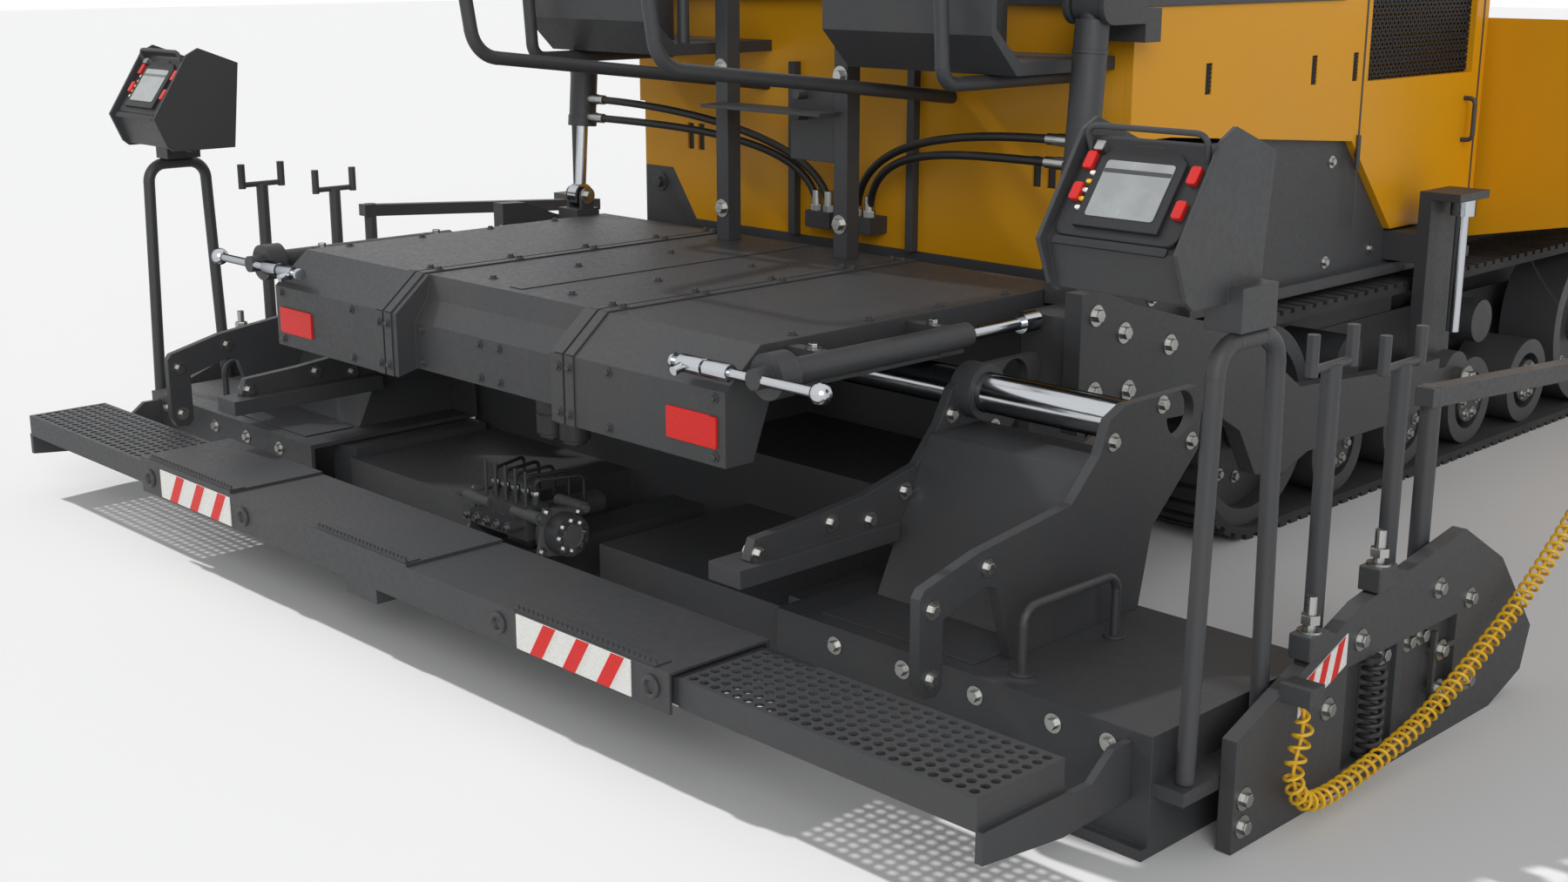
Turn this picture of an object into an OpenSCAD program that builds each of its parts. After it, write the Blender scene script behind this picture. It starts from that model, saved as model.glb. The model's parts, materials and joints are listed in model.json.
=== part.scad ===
// Tracked asphalt paver with an extended screed, in millimetres, +Z up, front towards +Y.
// Stations along Y are counted from the rear edge of the step board.

/* [Overall] */
// Length from the rear step board to the push rollers
overall_l = 7100; // [7000:10:7300]
// Half width over the tracks
track_out = 1250; // [1235:5:1260]

/* [Tractor] */
// Station of the tractor's rear panel
tractor_y = 2100; // [2090:5:2120]
// Half width of the tractor body
body_half = 1150; // [1130:5:1160]
// Underside of the body above the tracks
body_z = 830; // [825:1:850]
// Top of the lower dark body
waist_z = 1400; // [1380:5:1420]
// Top of the side panels behind the hood
shoulder_z = 1850; // [1840:5:1900]
// Top of the hood walls
hood_z = 2250; // [2200:10:2350]
// Station of the hood's rear wall
hood_y = 3340; // [3300:10:3400]
// Station of the hood's front
front_y = 4440; // [4420:5:4450]
// Sheet thickness of the body panels
panel_t = 30; // [20:1:40]

/* [Tracks] */
// Belt width
belt_w = 320; // [290:5:330]
// Belt thickness without the lugs
belt_t = 26; // [22:1:30]
// Lug height
lug_h = 16; // [12:1:20]
// Radius of the two large wheels
wheel_r = 360; // [350:1:362]
// Station of the rear wheel
wheel_y = 2870; // [2865:5:2900]
// Distance between the large wheels
wheelbase = 2750; // [2700:10:2800]
// Radius of the bogie wheels
bogie_r = 180; // [165:1:190]

/* [Hopper] */
// Half width of the fixed hopper trough at its top
hinge_x = 880; // [876:1:884]
// Height of the wing hinges
hinge_z = 860; // [856:1:880]
// Outer half width of the open wings at their floor
wing_x = 1560; // [1500:10:1600]
// Height of the wing walls
wing_z = 1600; // [1550:10:1650]

/* [Screed] */
// Half width of the deck cover
deck_half = 1140; // [1130:1:1140]
// Height of the deck
deck_z = 1015; // [1012:1:1018]
// Station of the deck's rear face
deck_y = 420; // [410:1:440]
// Station of the deck's front edge
deck_front = 1870; // [1860:1:1880]
// Depth of the step board
step_d = 340; // [330:1:345]
// Height of the step board
step_z = 330; // [326:1:340]
// Half width of the fixed step board
step_half = 1390; // [1370:5:1395]

/* [Extensions] */
// Inner end of an extension, pulled out
ext_in = 1200; // [1190:1:1210]
// Outer end of an extension, pulled out
ext_out = 2420; // [2410:5:2480]
// Radius of the chrome slide tubes
slide_r = 57; // [52:1:58]
// Station of the right slide tube
slide_y = 1220; // [1215:1:1225]
// Height of the slide tubes
slide_z = 815; // [812:1:816]

/* [Tow] */
// Station of the tow pins
tow_y = 3920; // [3910:5:3940]
// Height of the tow pins
tow_z = 450; // [440:1:460]
// Distance of the tow arms from the body side
tow_out = 220; // [215:1:225]

/* [Augers] */
// Auger radius
auger_r = 185; // [165:1:190]
// Station of the augers
auger_y = 2125; // [2120:1:2130]
// Height of the augers
auger_z = 370; // [360:1:380]

/* [Hidden] */
$fn = 48;
// Overrun of a cut beyond the face it opens
over = 5;
// Gap between two pieces that seat on each other
seat_gap = 0.3;
// Gap between a pin and its bore
fit_gap = 0.4;
// Weld bead at each end of a tube's bend
collar_half = 3;
collar_rise = 0.5;
charcoal = [0.12, 0.12, 0.13];
yellow = [0.8, 0.55, 0.1];
rubber = [0.05, 0.05, 0.05];
steel = [0.6, 0.6, 0.62];
lamp_glass = [0.9, 0.9, 0.85];

// Chassis
belly_z = 280;
trough_z = 430;
tunnel_x0 = 60;
tunnel_x1 = 760;
tunnel_top = 790;
belly_y = 2370;
belly_gap = 60;
belly_half = track_out - belt_w - belly_gap;
nose_l = 500;
frame_front = overall_l - nose_l;
skirt_x0 = 850;
skirt_z = 1190;
skirt_in = 480;
skirt_x1 = 985;
board_w = 45;
board_h = 40;
board_y = 2460;
board_l = 1960;

tie_y = 2135;
tie_t = 30;
tie_h = 100;
tie_out = 80;
tie_rise = 20;
tie_r = 25;

// Panels
panel_low = 1000;
panel_low_rear = 1440;
panel_low_mid = 1350;
panel_notch_y0 = 3460;
panel_notch_y1 = 3790;
panel_rear_low_y = 2320;
slit_w = 36;
slit_h = 100;
slit_z = 1565;
slit_ys = [2500, 3150, 3430];
grille_y0 = 3540;
grille_y1 = 4340;
grille_z0 = 1560;
grille_z1 = 2060;
rear_slit_x = 800;
rear_slit_pitch = 60;
rear_slit_z = 1270;
grille_t = 14;
grille_lip = 24;
rib_n = 14;
rib_fill_share = 0.55;
lid_t = 40;
lid_gap = 6;
lid_over = 20;
lid_axis_y = front_y + 22;
lid_axis_z = hood_z + lid_gap + 20;
knuckle_r = 20;
knuckle_x = 650;
knuckle_w = 100;
fork_w = 35;
fork_gap = 6;
lid_pin_r = 10;
fork_drop = 110;

// Engine
engine_w = 900;
engine_l = 850;
engine_h = 620;
engine_gap = 90;

// Platform and rails
floor_t = 40;
floor_rear = 2060;
floor_over = 10;
floor_half = body_half + panel_t + floor_over;
rail_r = 19;
rail_bend = 90;
rail_x = 1150;
rail_y0 = 2200;
rail_y1 = 3240;
rail_h = 950;
rail_mid_h = 500;

// Stations
pan_x0 = 425;
pan_x1 = 1110;
pan_y0 = 1500;
pan_t = 40;
pan_z = 1660;
guard_h = 640;
guard_t = 20;
tub_fold = 120;
inner_x = 450;
outer_x = 985;
hoop_r = 22;
hoop_bend = 110;
hoop_y = 700;
hoop_low_z = 1540;
hoop_rise_y = 800;
hoop_rise_z = 1690;
hoop_top_z = 2330;
hoop_end_y = 1690;
seat_x = 790;
seat_y = 1850;
pedestal_r = 70;
pedestal_h = 360;
seat_plate = 420;
seat_plate_t = 20;
cushion_w = 480;
cushion_l = 470;
cushion_t = 120;
back_t = 110;
back_h = 620;
back_w = 450;
back_lean = 10;
console_y = 2420;
console_w = 560;
console_l = 180;
console_h = 560;
desk_l = 420;
desk_t = 130;
desk_tilt = 18;

// Exhaust and lamps
stack_x = 900;
stack_y = 3240;
stack_r = 75;
muffler_r = 115;
muffler_z0 = 2050;
muffler_h = 620;
stack_top = 2860;
lamp_w = 150;
lamp_h = 110;
lamp_d = 90;
lamp_z = rail_h + shoulder_z + floor_t;

// Tracks
lug_n_arc = 16;
lug_l = 46;
lug_n_flat = 38;
axle_r = 45;
hub_r = 95;
wheel_w = 250;
rim_t = 60;
web_in = 70;
bogie_n = 4;
bogie_gap = 50;
bogie_off = wheel_r + bogie_r + bogie_gap;
bogie_ys = [for (i = [0:bogie_n - 1]) wheel_y + bogie_off + i * (wheelbase - 2 * bogie_off) / (bogie_n - 1)];
carrier_ys = [for (share = [0.28, 0.67]) wheel_y + share * wheelbase];
carrier_r = 90;
frame_x = track_out - belt_w - 55;
frame_z0 = 250;
frame_z1 = 560;

// Hopper
hopper_y = 4460;
wall_t = 20;
trough_in = 740;
trough_top = 815;
wing_t = 25;
wing_setback = 60;
wing_front = frame_front - wing_setback;
wing_rear = 4486;
wing_floor_z = 1000;
wing_out = 1640;
wing_plate_top = 1760;
wing_plate_in = 1130;
wing_plate_low = 1300;
tube_r = 30;
hinge_pin_r = 16;
hinge_pin_l = 60;
lug_plate_t = 20;
apron_t = 25;
apron_z = 640;
slab_t = 14;
slat_h = 22;
slat_w = 60;
slat_n = 18;
conveyor_lift = seat_gap;
conveyor_gap = 20;

// Push beam
beam_h0 = 350;
beam_h1 = 600;
beam_d = 190;
beam_half = 890;
roller_r = 110;
roller_x0 = 70;
roller_x1 = 800;
roller_z = 500;
roller_y = overall_l - roller_r;
roller_pin_r = 25;
roller_pin_l = 60;
roller_gap = 20;
bracket_t = 40;
bracket_h = 160;
bracket_nose = 60;

// Augers
auger_in = 90;
auger_out = 1290;
auger_shaft_r = 45;
stub_r = 30;
stub_l = 60;
gear_half = 80;
gear_r = 120;
column_w = 110;
blade_w = 36;
auger_turns = 3;

// Tow parts
guide_off = 105;
guide_x = body_half + panel_t + guide_off;
tow_x = body_half + panel_t + tow_out;
guide_t = 50;
guide_y0 = 3800;
guide_l = 230;
guide_z0 = 330;
guide_z1 = 1150;
arm_t = 60;
tow_pin_r = 36;
pin_tail = 40;
bracket_z0 = 880;
bracket_z1 = 990;
cap_plate_t = 30;
rod_r = 24;
rod_z0 = 620;
rod_z1 = 1060;
rod_x_off = 45;
cap_r = 45;
cap_h = 60;
eye_r = 95;
arm_pts = [[1550, 640], [1550, 1060], [1660, 1055], [1800, 1000], [2170, 900], [2420, 850],
    [2620, 700], [2790, 590], [3500, 540], [3780, 540], [3780, 380], [3500, 345], [2870, 350],
    [2700, 300], [2540, 330], [2430, 500], [2250, 600]];

// Screed frame
body_rear = 1290;
body_front = 1850;
body_h = 430;
mold_t = 40;
side_t = 40;
side_half = 1240;
side_y0 = 1565;
joint_z0 = 660;
joint_z1 = 980;
block_half = 150;
block_y0 = 1110;
block_y1 = 1540;
block_z0 = 700;
block_z1 = 930;
rib_half = 60;
rib_y = 720;
bowl_r = 45;
bowl_z = 630;
beam_half_x = 80;
beam_z0 = 60;
beam_z1 = 200;
guide_box_x0 = 300;
guide_box_x1 = 1120;
guide_box_y = 660;
guide_box_z = 250;
sheet = 12;
ear_t = 15;
ear_gap = 32;
ear_x = 1200;
ear_z = 1090;
ear_y = 1800;
ear_base_z = 1040;
ear_half_l = 60;
ear_block_in = 1145;
ear_block_out = 1262;
pin_r = 18;
slide_offset = 175;

// Deck cover
face_z0 = 700;
face_z1 = 905;
face_y1 = 550;
mid_half = 410;
mid_y0 = 490;
mid_z0 = 720;
mid_z1 = 870;
mid_y1 = 540;
mid_z2 = 940;
mid_y2 = 560;
cheek_z = 905;
cheek_y = 600;
cheek_low_y = 520;
cheek_end = body_front - mold_t - seat_gap;

// Walkway
skirt_w = 8;
lid_sheet = 16;
step_drop = 16;
seg_a = -768;
seg_b = 245;
seg_step = 8;
rear_skirt_z = 205;
front_skirt_z = 228;
hang_l = 20;

// Depth cranks
crank_y = 480;
crank_z = 965;
crank_x = 1270;
crank_hub_r = 62;
crank_hub_l = 70;
crank_bar_r = 14;
crank_bar_in = 960;
crank_bar_out = 1500;
knob_r = 30;
tube_y0 = 560;
tube_y1 = 1230;
crank_tube_r = 36;
crank_rod_r = 18;
crank_rod_y = 1470;
clevis_l = 70;
clevis_r = 30;
hanger_ys = [640, 1120];
hanger_t = 40;
hanger_z0 = 920;
flange_z = 912;
flange_t = 12;
flange_out = 1262;

// Vibrator drive
motor_r = 48;
motor_x = 245;
motor_l = 70;
end_motor_r = 66;
flange_l = 14;
valve_half = 130;
valve_d = 90;
valve_h = 80;
valve_n = 5;
spool_l = 55;
spool_r = 17;
lever_l = 110;
motor_y = 600;
motor_z = 275;
pump_r = 40;
pump_y1 = 900;
foot_w = 60;

// Centre frame
stile_x = 290;
stile_w = 60;
stile_d = 60;
stile_y = 1725;
stile_top = 1880;
case_x = 40;
case_z = 1330;
case_h = 250;
tray_z = 1490;
tread_t = 30;
tray_d = 130;
knob_pitch = 70;

// Extension bodies
shell_t = 15;
shell_y0 = 550;
shell_y1 = 1262;
shell_z = 300;
sole_t = 28;
sole_y = 525;
tall_y0 = 820;
tall_y1 = 1030;
tall_y2 = 1250;
tall_z = 720;
inner_x0 = 1285;
outer_x0 = 1855;
side_plate_t = 30;
inner_pts = [[360, 475], [340, 505], [360, 560], [560, 572], [760, 592], [980, 640], [1070, 740],
    [1120, 830], [1190, 870], [1270, 880], [1500, 880], [1520, 840], [1500, 780], [1300, 600],
    [1240, 500], [1100, 450], [810, 470]];
outer_pts = [[372, 285], [354, 320], [354, 540], [370, 560], [570, 610], [930, 655], [1040, 760],
    [1080, 850], [1150, 880], [1470, 880], [1500, 840], [1490, 700], [1290, 520], [1240, 300],
    [740, 300], [700, 300], [640, 500], [600, 515], [440, 470], [440, 300], [420, 280]];
collar_r = 80;
collar_l = 45;
bore_gap = 6;
pad_x0 = 1225;
pad_x1 = 1345;
pad_y0 = 280;
pad_y1 = 880;
pad_t = 50;
end_t = 15;
loop_x = 1970;
loop_y0 = 640;
loop_y1 = 1020;
loop_h = 170;
loop_r = 12;
loop_bend = 45;
mount_z0 = 150;
mount_z1 = 185;
mount_y0 = 560;
mount_y1 = 960;
mount_x = 2502;

// Side steps
side_step_gap = 12;
side_step_z0 = 222;
side_step_z1 = 300;
side_step_in = 1400;
side_step_out = 2350;
tread_sheet = 8;
hole_nx = 24;
hole_ny = 8;
hole_r = 13;
bracket_w = 16;
bracket_pts = [[22, 226], [22, 150], [300, 120], [shell_y0 - seat_gap, 130], [shell_y0 - seat_gap, 275],
    [480, 275], [400, 215],
    [324, 215], [314, 226]];

// Handrails
rail_plane = 2470;
rail_foot_a = 610;
rail_foot_b = 910;
rail_top_a = 640;
rail_top_b = 880;
rail_top = 1195;
post_r = 22;
post_bend = 70;

// Control boxes
box_x0 = 2090;
box_x1 = 2450;
box_pts = [[560, 1290], [800, 1290], [830, 1590], [680, 1620], [520, 1400]];
shade_t = 6;
shade_pts = [[535, 1300], [560, 1280], [815, 1280], [850, 1600], [690, 1660], [640, 1635], [490, 1405]];
arm_w = 50;
arm_z = rail_top + post_r + seat_gap;
arm_y0 = 690;
arm_y1 = 830;

// End gates
gate_x = 2505;
gate_t = 40;
gate_pts = [[700, 0], [700, 280], [1230, 480], [1750, 560], [1980, 430], [2200, 180], [2160, 60],
    [1980, 0]];
window_y0 = 1180;
window_y1 = 1420;
window_z0 = 60;
window_z1 = 330;
recess_l = 560;
gate_back = 12;
gate_column_r = 19;
clip_l = 110;
clip_t = 14;
clip_rise = 80;
spring_core_r = 22;
gate_post_off = 50;
gate_post_ys = [window_y0 - gate_post_off, window_y1 + gate_post_off];
gate_post_top = 1080;
gate_post_drop = 50;
gate_post_tops = [gate_post_top, gate_post_top - gate_post_drop];
gate_post_r = 24;
gate_post_x = 2470;
gate_arm_z0 = 180;
gate_arm_z1 = 290;
gate_arm_w = 70;
crank_arm_l = 90;
crank_arm_r = 11;
peg_r = 15;
peg_l = 85;

// Sensor masts
mast_x = 2470;
mast_y0 = 1600;
mast_y1 = 2900;
mast_z = 900;
mast_drop = 90;
mast_w = 50;
mast_post_r = 26;
mast_post_y = 1640;
pole_y = 2780;
pole_r = 16;
pole_top = 1750;
pole_low = 420;
head_w = 110;
head_h = 150;

// Cords and hoses
cord_r = 27;
cord_clear = 18;
cord_end_clear = 28;
cord_x = gate_x + gate_t + cord_r + cord_clear;
cord_end_x = mast_x + mast_w / 2 + cord_r + cord_end_clear;
cord_y0 = 905;
cord_y1 = 2760;
cord_z0 = 330;
cord_tip = 1.6;
cord_end_tip = 3.6;
socket_half = 32;
socket_h = 45;
cord_xs = [0, 0, 0, 0, 0, 0, 0, 0.25, 1, 1];
cord_ys = [0, 0, -0.0135, 0.0296, 0.148, 0.353, 0.6226, 0.86, 0.989, 1];
cord_zs = [1, 0.773, 0.455, 0.2, 0.194, 0.394, 1.015, 1.818, 2.303, 2.56];
cord_last = len(cord_ys) - 1;
cord_pts = [for (i = [0:cord_last]) [cord_x + cord_xs[i] * (cord_end_x - cord_x),
    cord_y0 + cord_ys[i] * (cord_y1 - cord_y0), cord_zs[i] * cord_z0]];
cord_rings = 4;
cord_sides = 10;
hose_rings = 24;
hose_r = 14;
hose_run = 480;
hose_pitch = 60;
hose_end_x = 70;
hose_end_y = 2040;
hose_turn = 260;
manifold_z = 1110;
manifold_h = 60;

// Lift cylinders
top_y = 1860;
top_z = 1860;
lift_r = 52;
lift_rod_r = 22;
lift_l = 505;
lift_top = 40;
lift_bore_top = 180;
rod_top = 465;
lift_eye_r = 44;
lift_eye_bore = 26;
lift_eye_w = 50;
head_eye_r = 45;
head_eye_half = 50;
head_pin_r = 20;
hanger_gap = 8;
hanger_plate_t = 18;
hanger_h = 110;
rib_w = 32;
hanger_beam_y = 2020;
hanger_beam_h = 100;
fitting_r = 20;
fitting_l = 34;
fitting_a = 400;
fitting_b = 470;
fitting_zs = [-fitting_a, -fitting_b];
lift_lean = atan((top_y - ear_y) / (top_z - ear_z));
lift_len = norm([top_y - ear_y, top_z - ear_z]);

// Helpers
function unit(v) = v / norm(v);
function corner(a, b, c) = acos(max(-1, min(1, unit(b - a) * unit(c - b))));
function trim(a, b, c, bend) = bend * tan(corner(a, b, c) / 2);

// Smooth route through points, and the tube swept along it
function between(a, b, c, d, t) = b + t / 2 * (c - a) + t * t / 2 * (2 * a - 5 * b + 4 * c - d)
    + t * t * t / 2 * (3 * b - a - 3 * c + d);
function route(p, n) = [for (i = [0:len(p) - 2], j = [0:n - 1])
    between(p[max(i - 1, 0)], p[i], p[i + 1], p[min(i + 2, len(p) - 1)], j / n), p[len(p) - 1]];
function arch(a, b, c, d, t) = pow(1 - t, 3) * a + 3 * t * pow(1 - t, 2) * b + 3 * t * t * (1 - t) * c
    + pow(t, 3) * d;
function along(p, i) = unit(p[min(i + 1, len(p) - 1)] - p[max(i - 1, 0)]);
function ring(c, t, ref, r, n) = let (a = unit(cross(t, ref)), b = cross(t, a))
    [for (k = [0:n - 1]) c + r * (a * cos(360 * k / n) + b * sin(360 * k / n))];

module sweep(p, r, n, ref) {
    rings = len(p);
    pts = [for (i = [0:rings - 1]) each ring(p[i], along(p, i), ref, r, n)];
    sides = [for (i = [0:rings - 2], k = [0:n - 1]) each [
        [i * n + k, i * n + (k + 1) % n, (i + 1) * n + k],
        [i * n + (k + 1) % n, (i + 1) * n + (k + 1) % n, (i + 1) * n + k]]];
    polyhedron(pts, concat([[for (k = [0:n - 1]) n - 1 - k]], sides,
        [[for (k = [0:n - 1]) (rings - 1) * n + k]]));
}

module mirrored() {
    children();
    mirror([1, 0, 0]) children();
}

module flip(left) {
    if (left) mirror([1, 0, 0]) children();
    else children();
}

module box(x0, x1, y0, y1, z0, z1) {
    translate([x0, y0, z0]) cube([x1 - x0, y1 - y0, z1 - z0]);
}

module plate_x(x, t, pts) {
    translate([x, 0, 0]) rotate([90, 0, 90]) linear_extrude(t) polygon(pts);
}

module bar_y(y, l, pts) {
    translate([0, y + l, 0]) rotate([90, 0, 0]) linear_extrude(l) polygon(pts);
}

module rod_x(x0, x1, y, z, r) {
    translate([x0, y, z]) rotate([0, 90, 0]) cylinder(r = r, h = x1 - x0);
}

module rod_y(x, y0, y1, z, r) {
    translate([x, y0, z]) rotate([-90, 0, 0]) cylinder(r = r, h = y1 - y0);
}

module rod_z(x, y, z0, z1, r) {
    translate([x, y, z0]) cylinder(r = r, h = z1 - z0);
}

module link(a, b, r) {
    d = b - a;
    translate(a) rotate([0, acos(d[2] / norm(d)), atan2(d[1], d[0])]) cylinder(r = r, h = norm(d));
}

// Round tube along points, bent at each corner
module tube(pts, r, bend) {
    n = len(pts);
    for (i = [0:n - 2]) {
        u = unit(pts[i + 1] - pts[i]);
        a = i == 0 ? pts[0] : pts[i] + u * trim(pts[i - 1], pts[i], pts[i + 1], bend);
        b = i == n - 2 ? pts[n - 1] : pts[i + 1] - u * trim(pts[i], pts[i + 1], pts[i + 2], bend);
        link(a, b, r);
    }
    for (i = [1:n - 2]) {
        u = unit(pts[i] - pts[i - 1]);
        v = unit(pts[i + 1] - pts[i]);
        turn = corner(pts[i - 1], pts[i], pts[i + 1]);
        side = unit(v - u * (u * v));
        c = pts[i] - u * trim(pts[i - 1], pts[i], pts[i + 1], bend) + side * bend;
        w = cross(-side, u);
        t = trim(pts[i - 1], pts[i], pts[i + 1], bend);
        link(pts[i] - u * (t + collar_half), pts[i] - u * (t - collar_half), r + collar_rise);
        link(pts[i] + v * (t - collar_half), pts[i] + v * (t + collar_half), r + collar_rise);
        multmatrix([[-side[0], u[0], w[0], c[0]], [-side[1], u[1], w[1], c[1]],
            [-side[2], u[2], w[2], c[2]]])
            rotate_extrude(angle = turn) translate([bend, 0]) circle(r);
    }
}

// Chassis: belly with two conveyor tunnels, body above the tracks, trough floor
module chassis() {
    color(charcoal) {
        difference() {
            union() {
                box(-belly_half, belly_half, belly_y, front_y, belly_z, body_z);
                box(-belly_half, belly_half, front_y, frame_front, belly_z, trough_z);
                box(-body_half, body_half, tractor_y + panel_t, front_y, body_z, waist_z);
            }
            mirrored() box(tunnel_x0, tunnel_x1, belly_y - over, front_y + over, trough_z, tunnel_top);
        }
        mirrored() {
            box(body_half - over, body_half + board_w, board_y, board_y + board_l, body_z,
                body_z + board_h);
            bar_y(tractor_y, panel_t, [[skirt_in, body_z], [body_half, body_z], [body_half, skirt_z],
                [skirt_x1, skirt_z], [skirt_x0, panel_low], [skirt_in, panel_low]]);
        }
        box(-skirt_in, skirt_in, tractor_y, tractor_y + panel_t, body_z, panel_low);
    }
}

// Lashing eye that stands out sideways from its root, with an upright bore at x
module tie_eye(root, x, y, z) {
    difference() {
        union() {
            box(root, x, y, y + tie_h, z, z + tie_t);
            rod_z(x, y + tie_h / 2, z, z + tie_t, tie_h / 2);
        }
        rod_z(x, y + tie_h / 2, z - over, z + tie_t + over, tie_r);
    }
}

// Yellow rear panel with two slits on each side, and the hood's end walls with the lid's forks
module cross_panels() {
    color(yellow) {
        difference() {
            bar_y(tractor_y, panel_t, [[-body_half, shoulder_z], [-body_half, skirt_z + seat_gap],
                [-skirt_x1, skirt_z + seat_gap], [-skirt_x0, panel_low + seat_gap], [skirt_x0,
                    panel_low + seat_gap],
                [skirt_x1, skirt_z + seat_gap], [body_half, skirt_z + seat_gap], [body_half, shoulder_z]]);
            mirrored() for (i = [0, 1])
                box(rear_slit_x + i * rear_slit_pitch, rear_slit_x + i * rear_slit_pitch + slit_w,
                    tractor_y - over, tractor_y + panel_t + over, rear_slit_z, rear_slit_z + slit_h);
        }
        box(-body_half, body_half, hood_y, hood_y + panel_t, waist_z, hood_z);
        box(-body_half, body_half, front_y - panel_t, front_y, waist_z, hood_z);
        mirrored() for (x = [knuckle_x - fork_gap - fork_w, knuckle_x + knuckle_w + fork_gap]) {
            box(x, x + fork_w, front_y - over, lid_axis_y + knuckle_r, hood_z - fork_drop,
                lid_axis_z - knuckle_r);
            box(x, x + fork_w, lid_axis_y - knuckle_r + over, lid_axis_y + knuckle_r,
                lid_axis_z - knuckle_r - over, lid_axis_z);
            rod_x(x, x + fork_w, lid_axis_y, lid_axis_z, knuckle_r - over);
        }
        mirrored() rod_x(knuckle_x - fork_gap - fork_w, knuckle_x + knuckle_w + fork_gap + fork_w,
            lid_axis_y, lid_axis_z, lid_pin_r);
    }
}

module side_panels() {
    color(yellow) mirrored() difference() {
        plate_x(body_half, panel_t, [[tractor_y, shoulder_z], [tractor_y, panel_low_rear],
            [panel_rear_low_y, panel_low_rear], [panel_notch_y0, panel_low_mid],
            [panel_notch_y1, panel_low], [front_y, panel_low], [front_y, hood_z], [hood_y, hood_z],
            [hood_y, shoulder_z]]);
        for (y = slit_ys)
            box(body_half - over, body_half + panel_t + over, y, y + slit_w, slit_z, slit_z + slit_h);
        box(body_half - over, body_half + panel_t + over, grille_y0, grille_y1, grille_z0, grille_z1);
    }
}

// Side grilles: frame and level ribs behind the panel openings
module grilles() {
    pitch = (grille_z1 - grille_z0) / rib_n;
    color(charcoal) mirrored() {
        difference() {
            box(body_half - grille_t - seat_gap, body_half - seat_gap, grille_y0 - grille_lip,
                grille_y1 + grille_lip, grille_z0 - grille_lip, grille_z1 + grille_lip);
            for (i = [0:rib_n - 1])
                box(body_half - grille_t - over, body_half + over, grille_y0, grille_y1,
                    grille_z0 + i * pitch, grille_z0 + (i + rib_fill_share) * pitch);
        }
    }
}

// Hangers for the lift cylinders behind the rear panel
module lift_hangers() {
    half = head_eye_half + hanger_gap;
    color(charcoal) mirrored() {
        box(ear_x - half - hanger_plate_t, ear_x + half + hanger_plate_t, hanger_beam_y,
            tractor_y - seat_gap,
            shoulder_z - hanger_beam_h, shoulder_z);
        for (x = [ear_x - half - hanger_plate_t, ear_x + half]) {
            box(x, x + hanger_plate_t, top_y, hanger_beam_y + over, top_z - hanger_h / 2,
                top_z + hanger_h / 2);
            rod_x(x, x + hanger_plate_t, top_y, top_z, hanger_h / 2);
        }
        rod_x(ear_x - half - hanger_plate_t, ear_x + half + hanger_plate_t, top_y, top_z, head_pin_r);
        box(stile_x - rib_w / 2, stile_x + rib_w / 2, tractor_y - rib_w, tractor_y - seat_gap, panel_low,
            pan_z - rib_w);
        box(hose_end_x - hose_pitch / 2, hose_end_x + hose_pitch * 3 / 2, hose_end_y - hose_pitch / 2,
            tractor_y - seat_gap, manifold_z - manifold_h, manifold_z - seat_gap);
        tie_eye(body_half + seat_gap, body_half + tie_out, tie_y, body_z + tie_rise);
    }
}

module hood_lid() {
    color(yellow) difference() {
        union() {
            box(-body_half - lid_over, body_half + lid_over, hood_y, front_y, hood_z + lid_gap,
                hood_z + lid_gap + lid_t);
            mirrored() {
                box(knuckle_x, knuckle_x + knuckle_w, front_y - over, lid_axis_y,
                    lid_axis_z - knuckle_r / 2,
                    lid_axis_z + knuckle_r / 2);
                rod_x(knuckle_x, knuckle_x + knuckle_w, lid_axis_y, lid_axis_z, knuckle_r);
            }
        }
        mirrored() rod_x(knuckle_x - over, knuckle_x + knuckle_w + over, lid_axis_y, lid_axis_z,
            lid_pin_r + fit_gap);
    }
}

module engine() {
    color(steel) box(-engine_w / 2, engine_w / 2, hood_y + engine_gap, hood_y + engine_gap + engine_l,
        waist_z + seat_gap, waist_z + engine_h);
}

module platform() {
    color(charcoal) box(-floor_half, floor_half, floor_rear, hood_y - seat_gap, shoulder_z + seat_gap,
        shoulder_z + floor_t);
}

// Side rails of the platform, and the tubes that carry and guard the stations
module guard_rails() {
    foot = shoulder_z + floor_t + seat_gap;
    tilt = (hoop_rise_z - hoop_low_z) / (tractor_y - hoop_rise_y);
    color(charcoal) mirrored() {
        tube([[rail_x, rail_y0, foot], [rail_x, rail_y0, foot + rail_h], [rail_x, rail_y1, foot + rail_h],
            [rail_x, rail_y1, foot]], rail_r, rail_bend);
        rod_y(rail_x, rail_y0, rail_y1, foot + rail_mid_h, rail_r);
        tube([[outer_x, tractor_y - seat_gap, pan_z - hoop_r - 2 * seat_gap],
            [outer_x, pan_y0 - hoop_bend * 0.6, pan_z - hoop_r - 2 * seat_gap],
            [outer_x, pan_y0 - hoop_bend, pan_z + guard_h]], hoop_r, hoop_bend / 2);
        tube([[inner_x, tractor_y - seat_gap - hoop_r * tilt, hoop_low_z], [inner_x, hoop_rise_y,
            hoop_rise_z],
            [inner_x, hoop_y, hoop_top_z], [inner_x, hoop_end_y, hoop_top_z],
            [inner_x, hoop_end_y, pan_z + pan_t + seat_gap]], hoop_r, hoop_bend);
    }
}

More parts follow.
